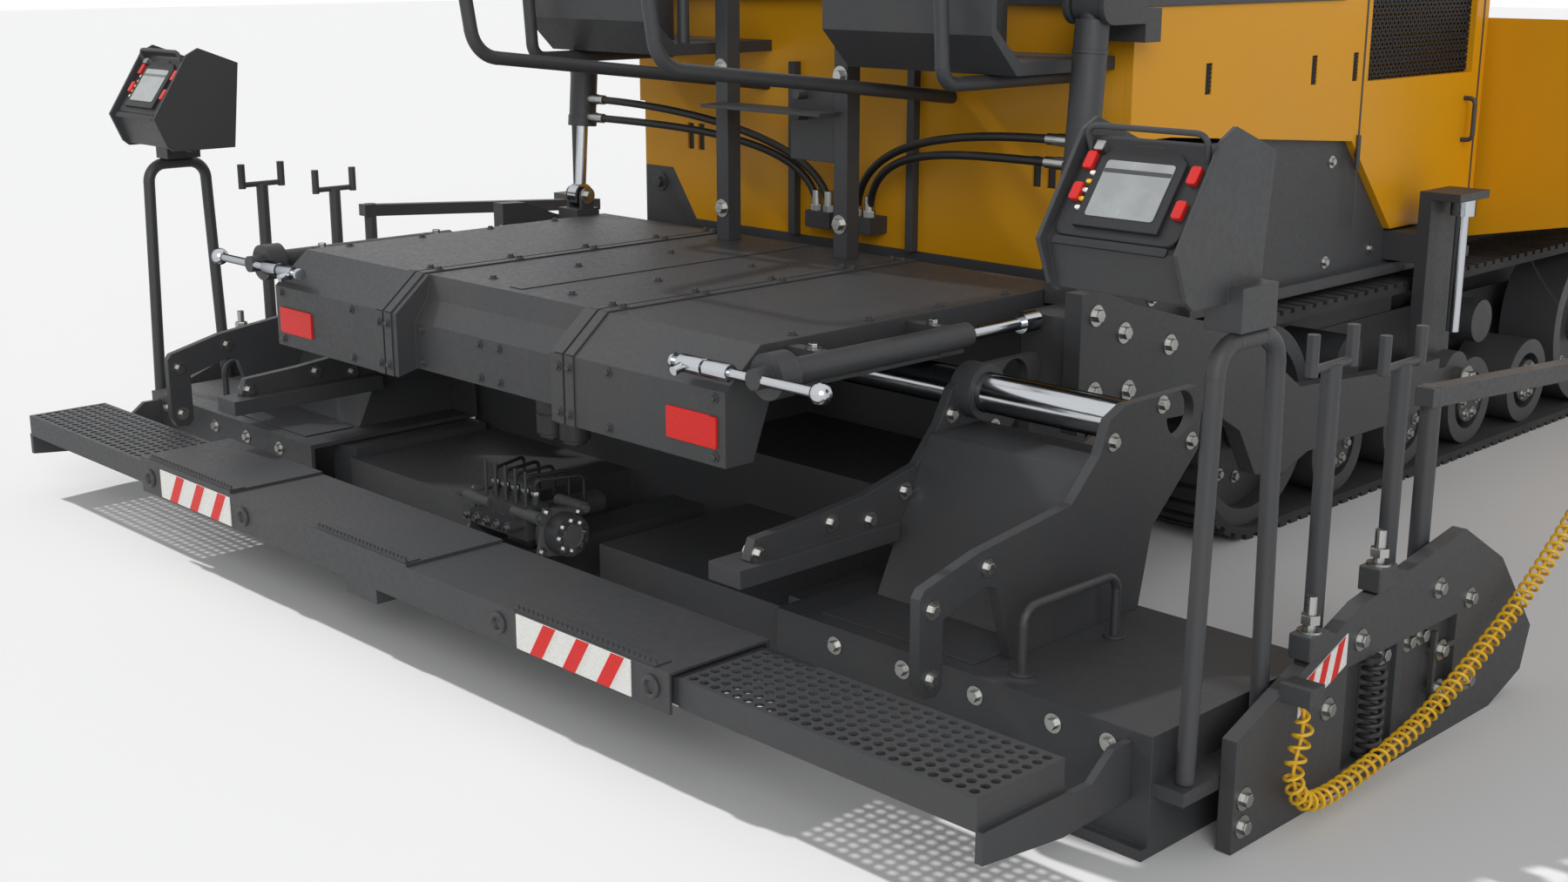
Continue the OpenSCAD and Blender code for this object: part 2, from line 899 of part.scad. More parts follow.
// Two driving stations behind the platform: pan, rear guard, seat pedestal
module stations() {
    color(charcoal) mirrored() {
        plate_x(pan_x0, pan_x1 - pan_x0, [[pan_y0 + tub_fold, pan_z], [tractor_y - seat_gap, pan_z],
            [tractor_y - seat_gap, pan_z + pan_t], [pan_y0 + tub_fold + guard_t / 2, pan_z + pan_t],
            [pan_y0 + guard_t, pan_z + tub_fold + guard_t], [pan_y0 + guard_t, pan_z + guard_h],
            [pan_y0, pan_z + guard_h], [pan_y0, pan_z + tub_fold]]);
        rod_z(seat_x, seat_y, pan_z + pan_t, pan_z + pan_t + pedestal_h, pedestal_r);
        box(seat_x - seat_plate / 2, seat_x + seat_plate / 2, seat_y - seat_plate / 2,
            seat_y + seat_plate / 2, pan_z + pan_t + pedestal_h, pan_z + pan_t + pedestal_h + seat_plate_t);
    }
}

// Seats: cushion and back
module seats() {
    z = pan_z + pan_t + pedestal_h + seat_plate_t + seat_gap;
    color(rubber) mirrored() translate([seat_x, seat_y, z]) {
        box(-cushion_w / 2, cushion_w / 2, -cushion_l / 2, cushion_l / 2, 0, cushion_t);
        translate([0, -cushion_l / 2, cushion_t / 2]) rotate([back_lean, 0, 0])
            box(-back_w / 2, back_w / 2, -back_t / 2, back_t / 2, 0, back_h);
    }
}

module consoles() {
    z = shoulder_z + floor_t + seat_gap;
    color(charcoal) mirrored() translate([seat_x, console_y, z]) {
        box(-console_l / 2, console_l / 2, -console_l / 2, console_l / 2, 0, console_h);
        translate([0, 0, console_h]) rotate([desk_tilt, 0, 0])
            box(-console_w / 2, console_w / 2, -desk_l / 2, desk_l / 2, -desk_t / 2, desk_t / 2);
    }
}

module exhaust() {
    color(steel) {
        rod_z(-stack_x, stack_y - muffler_r, shoulder_z + floor_t + seat_gap, stack_top, stack_r);
        rod_z(-stack_x, stack_y - muffler_r, muffler_z0, muffler_z0 + muffler_h, muffler_r);
    }
}

module work_lamps() {
    color(lamp_glass) mirrored() for (y = [rail_y0 + rail_bend, rail_y1 - rail_bend])
        box(rail_x - lamp_w / 2, rail_x + lamp_w / 2, y - lamp_d / 2, y + lamp_d / 2,
            lamp_z + rail_r + seat_gap * 2, lamp_z + rail_r + lamp_h);
}

// Track: belt loop with cross lugs in its outline
module loop_2d(r) {
    circle(r);
    translate([wheelbase, 0]) circle(r);
    translate([0, -r]) square([wheelbase, 2 * r]);
}

module track(left) {
    belt_r = wheel_r + belt_t;
    axle_z = belt_r + lug_h;
    color(rubber) flip(left) translate([track_out - belt_w, wheel_y, axle_z]) rotate([90, 0, 90])
        linear_extrude(belt_w) difference() {
            union() {
                loop_2d(belt_r);
                for (i = [0:lug_n_flat - 1], s = [-1, 1])
                    translate([(i + 0.5) * wheelbase / lug_n_flat - lug_l / 2,
                        s > 0 ? belt_r - over : -belt_r - lug_h]) square([lug_l, lug_h + over]);
                for (i = [0:lug_n_arc - 1]) {
                    rotate(90 + (i + 0.5) * 180 / lug_n_arc) translate([belt_r - over, -lug_l / 2])
                        square([lug_h + over, lug_l]);
                    translate([wheelbase, 0]) rotate(-90 + (i + 0.5) * 180 / lug_n_arc)
                        translate([belt_r - over, -lug_l / 2]) square([lug_h + over, lug_l]);
                }
            }
            loop_2d(wheel_r);
        }
}

module road_wheel(y, r) {
    x0 = track_out - belt_w / 2 - wheel_w / 2;
    z = lug_h + belt_t + seat_gap + r;
    difference() {
        rod_x(x0, x0 + wheel_w, y, z, r);
        difference() {
            rod_x(x0 + wheel_w - web_in, x0 + wheel_w + over, y, z, r - rim_t);
            rod_x(x0 + wheel_w - web_in - over, x0 + wheel_w + over, y, z, min(hub_r, r / 2));
        }
        rod_x(x0 - over, x0 + wheel_w - web_in / 2, y, z, axle_r + fit_gap);
    }
}

module track_wheels() {
    color(charcoal) mirrored() {
        for (y = [wheel_y, wheel_y + wheelbase])
            road_wheel(y, wheel_r - seat_gap);
        for (y = bogie_ys) road_wheel(y, bogie_r);
    }
}

module track_frames() {
    out = track_out - belt_w / 2 + wheel_w / 2 - web_in - over;
    color(charcoal) mirrored() {
        box(belly_half + seat_gap, frame_x, wheel_y, wheel_y + wheelbase, frame_z0, frame_z1);
        for (y = [wheel_y, wheel_y + wheelbase])
            rod_x(belly_half + seat_gap, out, y, lug_h + belt_t + wheel_r, axle_r);
        for (y = bogie_ys) {
            rod_x(belly_half + seat_gap, out, y, lug_h + belt_t + seat_gap + bogie_r, axle_r);
            box(belly_half + seat_gap, frame_x, y - axle_r, y + axle_r, lug_h + belt_t + bogie_r, frame_z1);
        }
        for (y = carrier_ys) rod_x(frame_x - over, out, y, frame_z1 - carrier_r / 2, carrier_r);
    }
}

// Hopper trough: steep fixed sides, hinge lugs and pins, front apron
module hopper_base() {
    color(charcoal) {
        mirrored() {
            bar_y(hopper_y, frame_front - hopper_y, [[trough_in, trough_z + seat_gap],
                [trough_in + wall_t, trough_z + seat_gap], [hinge_x - wall_t, trough_top],
                [hinge_x - 2 * wall_t, trough_top]]);
            for (y = [hopper_y, wing_front + fork_gap]) {
                bar_y(y, lug_plate_t, [[hinge_x - 3 * wall_t, trough_top - 2 * tube_r],
                    [hinge_x - wall_t, trough_top - 2 * tube_r], [hinge_x + tube_r, hinge_z],
                    [hinge_x - tube_r, hinge_z]]);
                rod_y(hinge_x, y, y + lug_plate_t, hinge_z, tube_r);
            }
            rod_y(hinge_x, hopper_y, wing_rear + hinge_pin_l, hinge_z, hinge_pin_r);
            rod_y(hinge_x, wing_front - hinge_pin_l, wing_front + fork_gap + over, hinge_z, hinge_pin_r);
        }
        box(-trough_in - wall_t, trough_in + wall_t, frame_front - apron_t, frame_front,
            trough_z + seat_gap, apron_z);
    }
}

module wing(left) {
    color(yellow) flip(left) difference() {
        union() {
            bar_y(wing_rear, wing_front - wing_rear, [[hinge_x, hinge_z - wing_t / 2],
                [wing_x, wing_floor_z - wing_t], [wing_out, wing_z], [wing_out - wing_t, wing_z],
                [wing_x - wing_t, wing_floor_z], [hinge_x, hinge_z + wing_t / 2]]);
            rod_y(hinge_x, wing_rear, wing_front, hinge_z, tube_r);
            bar_y(wing_rear, wing_t, [[hinge_x, hinge_z], [wing_x, wing_floor_z - wing_t],
                [wing_out, wing_z], [wing_plate_in + wing_x - hinge_x - wing_t * 6, wing_plate_top],
                [wing_plate_in, wing_plate_top], [hinge_x, wing_plate_low]]);
        }
        rod_y(hinge_x, wing_rear - over, wing_front + over, hinge_z, hinge_pin_r + fit_gap);
    }
}

// Two conveyors: floor band with cross slats, through the tunnels to the augers
module conveyors() {
    y1 = frame_front - 2 * apron_t;
    y0 = belly_y + conveyor_gap;
    color(steel) mirrored() {
        box(tunnel_x0 + conveyor_gap, tunnel_x1 - 2 * conveyor_gap, y0, y1, trough_z + conveyor_lift,
            trough_z + conveyor_lift + slab_t);
        for (i = [0:slat_n - 1])
            translate([0, y0 + (i + 0.5) * (y1 - y0) / slat_n, 0])
                box(tunnel_x0 + conveyor_gap, tunnel_x1 - 2 * conveyor_gap, -slat_w / 2, slat_w / 2,
                    trough_z + conveyor_lift + slab_t / 2, trough_z + conveyor_lift + slab_t + slat_h);
    }
}

module push_beam() {
    color(charcoal) {
        box(-beam_half, beam_half, frame_front + seat_gap, frame_front + beam_d, beam_h0, beam_h1);
        for (x = [-roller_x1 - roller_gap - bracket_t, -bracket_t / 2, roller_x1 + roller_gap])
            box(x, x + bracket_t, frame_front + beam_d - over, roller_y + bracket_nose,
                roller_z - bracket_h / 2, roller_z + bracket_h / 2);
        rod_x(-roller_x0 - roller_pin_l, roller_x0 + roller_pin_l, roller_y, roller_z, roller_pin_r);
        mirrored() {
            rod_x(roller_x1 - roller_pin_l, roller_x1 + roller_gap + over, roller_y, roller_z,
                roller_pin_r);
            tie_eye(beam_half - over, beam_half + tie_out, frame_front + (beam_d - tie_h) / 2,
                (beam_h0 + beam_h1) / 2);
        }
    }
}

module push_roller(left) {
    color(steel) flip(left) difference() {
        rod_x(roller_x0, roller_x1, roller_y, roller_z, roller_r);
        rod_x(roller_x0 - over, roller_x1 + over, roller_y, roller_z, roller_pin_r + fit_gap);
    }
}

// Auger gearbox on its column, with a bore at each side
module auger_carrier() {
    color(charcoal) difference() {
        union() {
            rod_x(-gear_half, gear_half, auger_y, auger_z, gear_r);
            box(-gear_half, gear_half, auger_y + panel_t - column_w / 2,
                auger_y + panel_t + column_w / 2, auger_z,
                body_z - seat_gap);
        }
        mirrored() rod_x(gear_half - stub_l, gear_half + over, auger_y, auger_z, stub_r + fit_gap);
    }
}

module auger(left) {
    l = auger_out - auger_in;
    color(steel) flip(left) {
        rod_x(auger_in, auger_out, auger_y, auger_z, auger_shaft_r);
        rod_x(gear_half - stub_l + over, auger_in + over, auger_y, auger_z, stub_r);
        translate([auger_in, auger_y, auger_z]) rotate([0, 90, 0])
            linear_extrude(height = l, twist = 360 * auger_turns, slices = 16 * auger_turns)
            translate([-blade_w / 2, 0]) square([blade_w, auger_r]);
    }
}

// Tow points: plate on the body side, guide outside the track, tow pin
module tow_guides() {
    color(charcoal) mirrored() {
        box(body_half + seat_gap, guide_x + over, guide_y0, guide_y0 + guide_l, bracket_z0, bracket_z1);
        box(guide_x, guide_x + guide_t, guide_y0, guide_y0 + guide_l, guide_z0, guide_z1);
        rod_x(guide_x + over, tow_x + arm_t / 2 + pin_tail, tow_y, tow_z, tow_pin_r);
        box(guide_x + guide_t - over, tow_x + rod_x_off, guide_y0, guide_y0 + guide_l, rod_z1 + cap_h,
            rod_z1 + cap_h + cap_plate_t);
    }
}

// Chrome rods of the tow point cylinders
module tow_cylinders() {
    color(steel) mirrored() {
        rod_z(tow_x, tow_y, rod_z0, rod_z1, rod_r);
        rod_z(tow_x, tow_y, rod_z1, rod_z1 + cap_h - seat_gap, cap_r);
    }
}

module tow_arms() {
    color(charcoal) mirrored() difference() {
        union() {
            plate_x(tow_x - arm_t / 2, arm_t, arm_pts);
            rod_x(tow_x - arm_t / 2, tow_x + arm_t / 2, tow_y, tow_z, eye_r);
            box(tow_x - arm_t / 2, tow_x + arm_t / 2, tow_y - 2 * eye_r, tow_y, tow_z - eye_r / 2,
                tow_z + eye_r / 2);
        }
        rod_x(tow_x - arm_t, tow_x + arm_t, tow_y, tow_z, tow_pin_r + fit_gap);
    }
}

// Screed frame: heated body, mould board, guide block, side plates, lift ears
module screed_frame() {
    color(charcoal) difference() {
        union() {
            box(-side_half, side_half, body_rear, body_front, 0, body_h);
            box(-side_half, side_half, body_front - mold_t, body_front, 0, deck_z - sheet - seat_gap);
            box(-rib_half, rib_half, rib_y, body_front, block_z1 - over, deck_z - sheet - seat_gap);
            box(-rib_half, rib_half, block_y1 - over, body_front, 0, block_z1);
            box(-block_half, block_half, block_y0, block_y1, block_z0, block_z1);
            mirrored() rod_z(rib_half, rib_y + bowl_r, bowl_z, block_z1, bowl_r);
            box(-beam_half_x, beam_half_x, step_d + seat_gap, body_rear + over, beam_z0, beam_z1);
            mirrored() {
                box(guide_box_x0, guide_box_x1, guide_box_y, body_rear + over, beam_z0, guide_box_z);
                box(side_half - side_t, side_half, side_y0, body_front, 0, joint_z1);
                box(side_half - over, tow_x - arm_t / 2 - seat_gap, side_y0, body_front, joint_z0,
                    joint_z1);
                box(ear_block_in, ear_block_out, ear_y - ear_half_l, body_front, joint_z1 - over,
                    ear_base_z);
                for (x = [ear_x - ear_gap - ear_t, ear_x + ear_gap]) {
                    box(x, x + ear_t, ear_y - ear_half_l / 2, ear_y + ear_half_l / 2, ear_base_z - over,
                        ear_z);
                    rod_x(x, x + ear_t, ear_y, ear_z, ear_half_l / 2);
                }
                rod_x(ear_x - ear_gap - ear_t, ear_x + ear_gap + ear_t, ear_y, ear_z, pin_r);
            }
        }
        for (y = [slide_y, slide_y + slide_offset])
            rod_x(-block_half - over, block_half + over, y, slide_z, slide_r + fit_gap);
    }
}

// Deck cover in folded sheet, with a set-back middle
module screed_deck() {
    color(charcoal) {
        mirrored() {
            plate_x(mid_half, deck_half - mid_half, [[deck_y, face_z0], [deck_y, face_z1],
                [face_y1, deck_z], [deck_front, deck_z], [deck_front, deck_z - sheet],
                [face_y1 + sheet / 2, deck_z - sheet], [deck_y + sheet, face_z1 - sheet / 2],
                [deck_y + sheet, face_z0]]);
            plate_x(mid_half - sheet, 2 * sheet, [[deck_y, face_z0], [deck_y, face_z1],
                [face_y1, deck_z], [mid_y2 + sheet, deck_z - sheet / 2], [mid_y1 + sheet, mid_z2],
                [mid_y0 + sheet, mid_z1], [mid_y0 + sheet, mid_z0]]);
            plate_x(deck_half - sheet, sheet, [[deck_y, face_z0], [deck_y, face_z1], [face_y1, deck_z],
                [cheek_end, deck_z], [cheek_end, cheek_z], [cheek_y, cheek_z], [cheek_low_y, face_z0]]);
        }
        plate_x(-mid_half, 2 * mid_half, [[mid_y0, mid_z0], [mid_y0, mid_z1], [mid_y1, mid_z2],
            [mid_y2, deck_z], [deck_front, deck_z], [deck_front, deck_z - sheet],
            [mid_y2 + sheet, deck_z - sheet], [mid_y1 + sheet, mid_z2 - sheet / 2],
            [mid_y0 + sheet, mid_z1 - sheet / 2], [mid_y0 + sheet, mid_z0]]);
    }
}

// Fixed step board: three lapped treads over a channel
module walkway() {
    color(charcoal) {
        for (s = [[-step_half, seg_a, 0], [seg_a, seg_b, seg_step], [seg_b, step_half, 2 * seg_step]])
            box(s[0], s[1], 0, step_d, step_z - lid_sheet - step_drop / 2, step_z - s[2]);
        box(-step_half, step_half, 0, skirt_w, rear_skirt_z, step_z - lid_sheet);
        box(-step_half, step_half, step_d - skirt_w, step_d, front_skirt_z, step_z - lid_sheet);
        box(-beam_half_x, beam_half_x, 0, step_d, beam_z1 - hang_l * 2, step_z - lid_sheet);
    }
}

// Hand cranks for the paving thickness, along the deck's edges
module depth_cranks() {
    color(charcoal) mirrored() {
        rod_y(crank_x, crank_y - crank_hub_l / 2, crank_y + crank_hub_l / 2, crank_z, crank_hub_r);
        rod_x(crank_bar_in, crank_bar_out, crank_y - crank_hub_l, crank_z, crank_bar_r);
        rod_y(crank_x, crank_y - crank_hub_l - crank_bar_r, crank_y, crank_z, crank_bar_r * 2);
        translate([crank_bar_out, crank_y - crank_hub_l, crank_z]) sphere(knob_r);
        rod_y(crank_x, crank_y, tube_y1, crank_z, crank_tube_r);
        rod_y(crank_x, tube_y1 - over, crank_rod_y, crank_z, crank_rod_r);
        rod_y(crank_x, crank_rod_y, crank_rod_y + clevis_l, crank_z, clevis_r);
        for (y = hanger_ys)
            box(deck_half + seat_gap, crank_x, y, y + hanger_t, hanger_z0, crank_z + crank_tube_r);
        box(deck_half + seat_gap, flange_out, tube_y0, tube_y1, flange_z, flange_z + flange_t);
    }
}

// Vibrator drive: two end motors, valve block with spools, ports and levers
module vibrator_drive() {
    pitch = 2 * valve_half / valve_n;
    color(charcoal) {
        rod_x(-motor_x, motor_x, motor_y, motor_z, motor_r);
        box(-foot_w, foot_w, motor_y - motor_r / 2, motor_y + motor_r / 2, beam_z1 + seat_gap, motor_z);
        rod_y(0, motor_y, pump_y1, motor_z, pump_r);
        mirrored() {
            rod_x(motor_x - motor_l, motor_x, motor_y, motor_z, end_motor_r);
            rod_x(motor_x - motor_l - flange_l, motor_x - motor_l, motor_y, motor_z,
                end_motor_r + flange_l);
        }
        box(-valve_half, valve_half, motor_y - valve_d, motor_y, motor_z - motor_r / 2, motor_z + valve_h);
        for (i = [0:valve_n - 1]) {
            x = -valve_half + (i + 0.5) * pitch;
            rod_y(x, motor_y - valve_d - spool_l, motor_y - valve_d + over, motor_z + valve_h / 3, spool_r);
            rod_z(x, motor_y - valve_d / 3, motor_z + valve_h - over, motor_z + valve_h + spool_l / 2,
                spool_r * 0.7);
            rod_z(x, motor_y - valve_d * 0.75, motor_z + valve_h - over, motor_z + valve_h + lever_l,
                spool_r * 0.3);
        }
    }
}

// Posts on the deck with a cable box and a tray between them
module centre_frame() {
    color(charcoal) {
        mirrored() box(stile_x - stile_w / 2, stile_x + stile_w / 2, stile_y, stile_y + stile_d,
            deck_z + seat_gap, stile_top);
        box(case_x, stile_x, stile_y + tread_t / 2, stile_y + stile_d - tread_t / 2, case_z,
            case_z + case_h);
        box(-stile_x, stile_x, stile_y - tray_d + stile_d / 2, stile_y + stile_d / 2, tray_z,
            tray_z + sheet);
        for (z = [case_z + case_h - knob_r, case_z + case_h - knob_pitch - knob_r])
            rod_y(case_x + knob_pitch, stile_y - knob_r, stile_y + stile_d / 2, z, knob_r / 2);
    }
}

// Extension body: open shell over the fixed guide box, sole plate, raised deflector
module ext_body(left) {
    color(charcoal) flip(left) {
        plate_x(ext_in, ext_out - ext_in, [[sole_y, 0], [shell_y1, 0], [shell_y1, sole_t],
            [shell_y0 + shell_t, sole_t], [shell_y0 + shell_t, shell_z - shell_t],
            [shell_y1, shell_z - shell_t], [shell_y1, shell_z], [shell_y0, shell_z], [shell_y0, sole_t],
            [sole_y, sole_t]]);
        plate_x(inner_x0 + side_plate_t + seat_gap, outer_x0 - inner_x0 - side_plate_t - 2 * seat_gap,
            [[tall_y0, shell_z - over], [tall_y1, tall_z], [tall_y2, tall_z], [tall_y2, shell_z - over]]);
        box(ext_out - end_t, ext_out, shell_y0, shell_y1, 0, shell_z);
        box(ext_out - over, mount_x, mount_y0, mount_y1, mount_z0, mount_z1);
        tube([[loop_x, loop_y0, shell_z - over], [loop_x, loop_y0, shell_z + loop_h], [loop_x, loop_y1,
            shell_z + loop_h],
            [loop_x, loop_y1, shell_z - over]], loop_r, loop_bend);
    }
}

// Two side plates of an extension with the bores for both slide tubes
module ext_plates(left) {
    own = slide_y + (left ? slide_offset : 0);
    other = slide_y + (left ? 0 : slide_offset);
    color(charcoal) flip(left) {
        difference() {
            union() {
                plate_x(inner_x0, side_plate_t, inner_pts);
                rod_x(inner_x0, inner_x0 + side_plate_t + collar_l, own, slide_z, collar_r);
                box(pad_x0, pad_x1, pad_y0, pad_y1, shell_z + pad_t * 3, shell_z + pad_t * 4);
            }
            rod_x(inner_x0 - over, outer_x0, own, slide_z, slide_r + fit_gap);
            rod_x(inner_x0 - over, outer_x0, other, slide_z, slide_r + bore_gap);
        }
        difference() {
            plate_x(outer_x0, side_plate_t, outer_pts);
            rod_x(outer_x0 - over, outer_x0 + side_plate_t / 2, own, slide_z, slide_r + fit_gap);
            rod_x(outer_x0 - over, outer_x0 + side_plate_t + over, other, slide_z, slide_r + bore_gap);
        }
    }
}

module slide_tube(left) {
    own = slide_y + (left ? slide_offset : 0);
    color(steel) flip(left) rod_x(-block_half, outer_x0 + side_plate_t / 2 - seat_gap, own, slide_z,
        slide_r);
}

// Perforated side step, carried at its outer end
module side_step(left) {
    y0 = skirt_w + side_step_gap;
    l = side_step_out - side_step_in;
    d = step_d - 2 * y0;
    color(charcoal) flip(left) {
        translate([side_step_in, y0, side_step_z1 - tread_sheet]) linear_extrude(tread_sheet) difference() {
            square([l, d]);
            for (i = [0:hole_nx - 1], k = [0:hole_ny - 1])
                translate([(i + 0.75) * l / (hole_nx + 0.5), (k + 0.75) * d / (hole_ny + 0.5)])
                    circle(hole_r, $fn = 8);
        }
        difference() {
            box(side_step_in, side_step_out, y0, y0 + d, side_step_z0, side_step_z1 - tread_sheet / 2);
            box(side_step_in + tread_sheet, side_step_out - tread_sheet, y0 + tread_sheet,
                y0 + d - tread_sheet,
                side_step_z0 - over, side_step_z1);
        }
        plate_x(side_step_out - over, bracket_w + over, bracket_pts);
    }
}

module handrail(left) {
    z = mount_z1 + seat_gap + post_r * (rail_top_a - rail_foot_a) / (rail_top - mount_z1);
    color(charcoal) flip(left)
        tube([[rail_plane, rail_foot_a, z], [rail_plane, rail_top_a, rail_top],
            [rail_plane, rail_top_b, rail_top], [rail_plane, rail_foot_b, z]], post_r, post_bend);
}

module control_box(left) {
    color(charcoal) flip(left) {
        plate_x(box_x0, box_x1 - box_x0, box_pts);
        for (x = [box_x0 - shade_t, box_x1 - over]) plate_x(x, shade_t + over, shade_pts);
        box(box_x1 - arm_w, rail_plane + arm_w / 2, arm_y0, arm_y1, arm_z, arm_z + arm_w * 2);
    }
}

// Socket that a cord plugs into from below
module cord_socket(x0, x1, y, z) {
    box(x0, x1 + socket_half, y - socket_half, y + socket_half, z, z + socket_h);
}

// End gate: plate with spring window, hex posts with cranks
module end_gate(left) {
    color(charcoal) flip(left) {
        difference() {
            plate_x(gate_x, gate_t, gate_pts);
            box(gate_x + gate_back, gate_x + gate_t + over, window_y0, window_y0 + recess_l, window_z0,
                window_z1);
        }
        translate([gate_x + gate_t / 2, window_y0 + recess_l / 2, window_z0 - over])
            cylinder(r = gate_column_r, h = window_z1 - window_z0 + 2 * over, $fn = 6);
        for (z = [window_z0 + clip_rise, window_z1 - clip_rise]) {
            box(gate_x + gate_back - over, gate_x + gate_t, window_y0 + recess_l - clip_l,
                window_y0 + recess_l + over,
                z - clip_t / 2, z + clip_t / 2);
            box(gate_x + gate_t - clip_t, gate_x + gate_t, window_y0 + recess_l - clip_l,
                window_y0 + recess_l - clip_l + clip_t, z - clip_l / 2, z + clip_l / 2);
        }
        cord_socket(gate_x + gate_t - over, cord_x, cord_y0, cord_z0 + cord_tip);
        rod_z(gate_x + gate_t / 2, (window_y0 + window_y1) / 2, window_z0 - over, window_z1 + over,
            spring_core_r);
        for (i = [0, 1]) {
            rod_z(gate_post_x, gate_post_ys[i], gate_arm_z0, gate_post_tops[i], gate_post_r);
            box(ext_out + seat_gap, gate_x + over, gate_post_ys[i] - gate_arm_w / 2,
                gate_post_ys[i] + gate_arm_w / 2,
                gate_arm_z0, gate_arm_z1);
            rod_y(gate_post_x, gate_post_ys[i] - crank_arm_l, gate_post_ys[i] + crank_arm_l,
                gate_post_tops[i],
                crank_arm_r);
            for (y = [-crank_arm_l, crank_arm_l]) rod_z(gate_post_x, gate_post_ys[i] + y,
                gate_post_tops[i] - peg_r, gate_post_tops[i] + peg_l, peg_r);
        }
    }
}

// Sensor arm from the end gate forward, with its pole and head
module sensor_mast(left) {
    color(charcoal) flip(left) {
        rod_z(mast_x, mast_post_y, gate_arm_z0, mast_z + mast_w, mast_post_r);
        box(mast_x - mast_post_r, gate_x - seat_gap, mast_post_y - mast_post_r, mast_post_y + mast_post_r,
            gate_arm_z0, gate_arm_z1);
        plate_x(mast_x - mast_w / 2, mast_w, [[mast_y0, mast_z], [mast_y0, mast_z + mast_w],
            [mast_y1, mast_z + mast_w - mast_drop], [mast_y1, mast_z - mast_drop]]);
        cord_socket(mast_x, cord_end_x, cord_y1, cord_zs[cord_last] * cord_z0 + cord_end_tip);
        rod_z(mast_x, pole_y, pole_low, pole_top, pole_r);
        box(mast_x - head_w / 2, mast_x + head_w / 2, pole_y - head_w / 2, pole_y + head_w / 2,
            pole_low, pole_low + head_h);
    }
}

module coil_cord(left) {
    color(yellow) flip(left) sweep(route(cord_pts, cord_rings), cord_r, cord_sides, [1, 0, 0]);
}

// Hoses from the lift cylinders to the fitting blocks at the middle
module lift_hoses() {
    x1 = ear_x - lift_r - fitting_l - seat_gap;
    color(rubber) for (s = [-1, 1], i = [0, 1]) {
        z = top_z + fitting_zs[i] * cos(lift_lean);
        y = top_y + fitting_zs[i] * sin(lift_lean);
        x = hose_end_x + i * hose_pitch;
        a = [s * x1, y, z];
        b = [s * x, hose_end_y, manifold_z + hose_r / 10];
        sweep([for (k = [0:hose_rings]) arch(a, a - [s * hose_run, 0, 0], b + [0, 0, hose_turn], b,
            k / hose_rings)], hose_r, cord_sides, [0, 1, 0]);
    }
}

module on_lift(left) {
    flip(left) translate([ear_x, top_y, top_z]) rotate([-lift_lean, 0, 0]) children();
}

module lift_barrel(left) {
    color(charcoal) on_lift(left) difference() {
        union() {
            rod_z(0, 0, -lift_l, -lift_top, lift_r);
            rod_x(-head_eye_half, head_eye_half, 0, 0, head_eye_r);
            rod_z(0, 0, -lift_top - over, 0, head_eye_r - over);
            for (z = fitting_zs) rod_x(-lift_r - fitting_l, 0, 0, z, fitting_r);
        }
        rod_z(0, 0, -lift_l - over, -lift_bore_top, lift_rod_r + fit_gap);
        rod_x(-head_eye_half - over, head_eye_half + over, 0, 0, head_pin_r + fit_gap);
    }
}

module lift_rod(left) {
    color(steel) on_lift(left) difference() {
        union() {
            rod_z(0, 0, -lift_len + lift_eye_r - over, -rod_top, lift_rod_r);
            rod_x(-lift_eye_w / 2, lift_eye_w / 2, 0, -lift_len, lift_eye_r);
        }
        rod_x(-lift_eye_w, lift_eye_w, 0, -lift_len, lift_eye_bore);
    }
}

// Every node stands about the middle of the machine's length
module put() {
    translate([0, -overall_l / 2, 0]) children();
}

put() chassis();
put() cross_panels();
put() side_panels();
put() lift_hangers();
put() hood_lid();
put() engine();
put() grilles();
put() platform();
put() guard_rails();
put() stations();
put() consoles();
put() seats();
put() exhaust();
put() work_lamps();
put() track(true);  // track_left
put() track(false);  // track_right
put() track_wheels();
put() track_frames();
put() hopper_base();
put() conveyors();
put() push_beam();
put() push_roller(true);  // push_roller_left
put() push_roller(false);  // push_roller_right
put() auger_carrier();
put() auger(true);  // auger_left
put() auger(false);  // auger_right
put() wing(true);  // wing_left
put() wing(false);  // wing_right
put() tow_guides();
put() tow_cylinders();
put() screed_frame();
put() screed_deck();
put() tow_arms();
put() walkway();
put() depth_cranks();
put() vibrator_drive();
put() centre_frame();
put() ext_body(true);  // ext_body_left
put() ext_body(false);  // ext_body_right
put() ext_plates(true);  // ext_plates_left
put() ext_plates(false);  // ext_plates_right
put() slide_tube(true);  // slide_tube_left
put() slide_tube(false);  // slide_tube_right
put() side_step(true);  // side_step_left
put() side_step(false);  // side_step_right
put() handrail(true);  // handrail_left
put() handrail(false);  // handrail_right
put() control_box(true);  // control_box_left
put() control_box(false);  // control_box_right
put() end_gate(true);  // end_gate_left
put() end_gate(false);  // end_gate_right
put() sensor_mast(true);  // sensor_mast_left
put() sensor_mast(false);  // sensor_mast_right
put() coil_cord(true);  // coil_cord_left
put() coil_cord(false);  // coil_cord_right
put() lift_hoses();
put() lift_barrel(true);  // lift_barrel_left
put() lift_barrel(false);  // lift_barrel_right
put() lift_rod(true);  // lift_rod_left
put() lift_rod(false);  // lift_rod_right
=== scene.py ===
# Tracked asphalt paver with its screed drawn out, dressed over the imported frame.
# Lengths are metres. Stations along Y are counted from the rear edge of the step board.
import json
import math
import bmesh
import bpy
from mathutils import Matrix, Vector


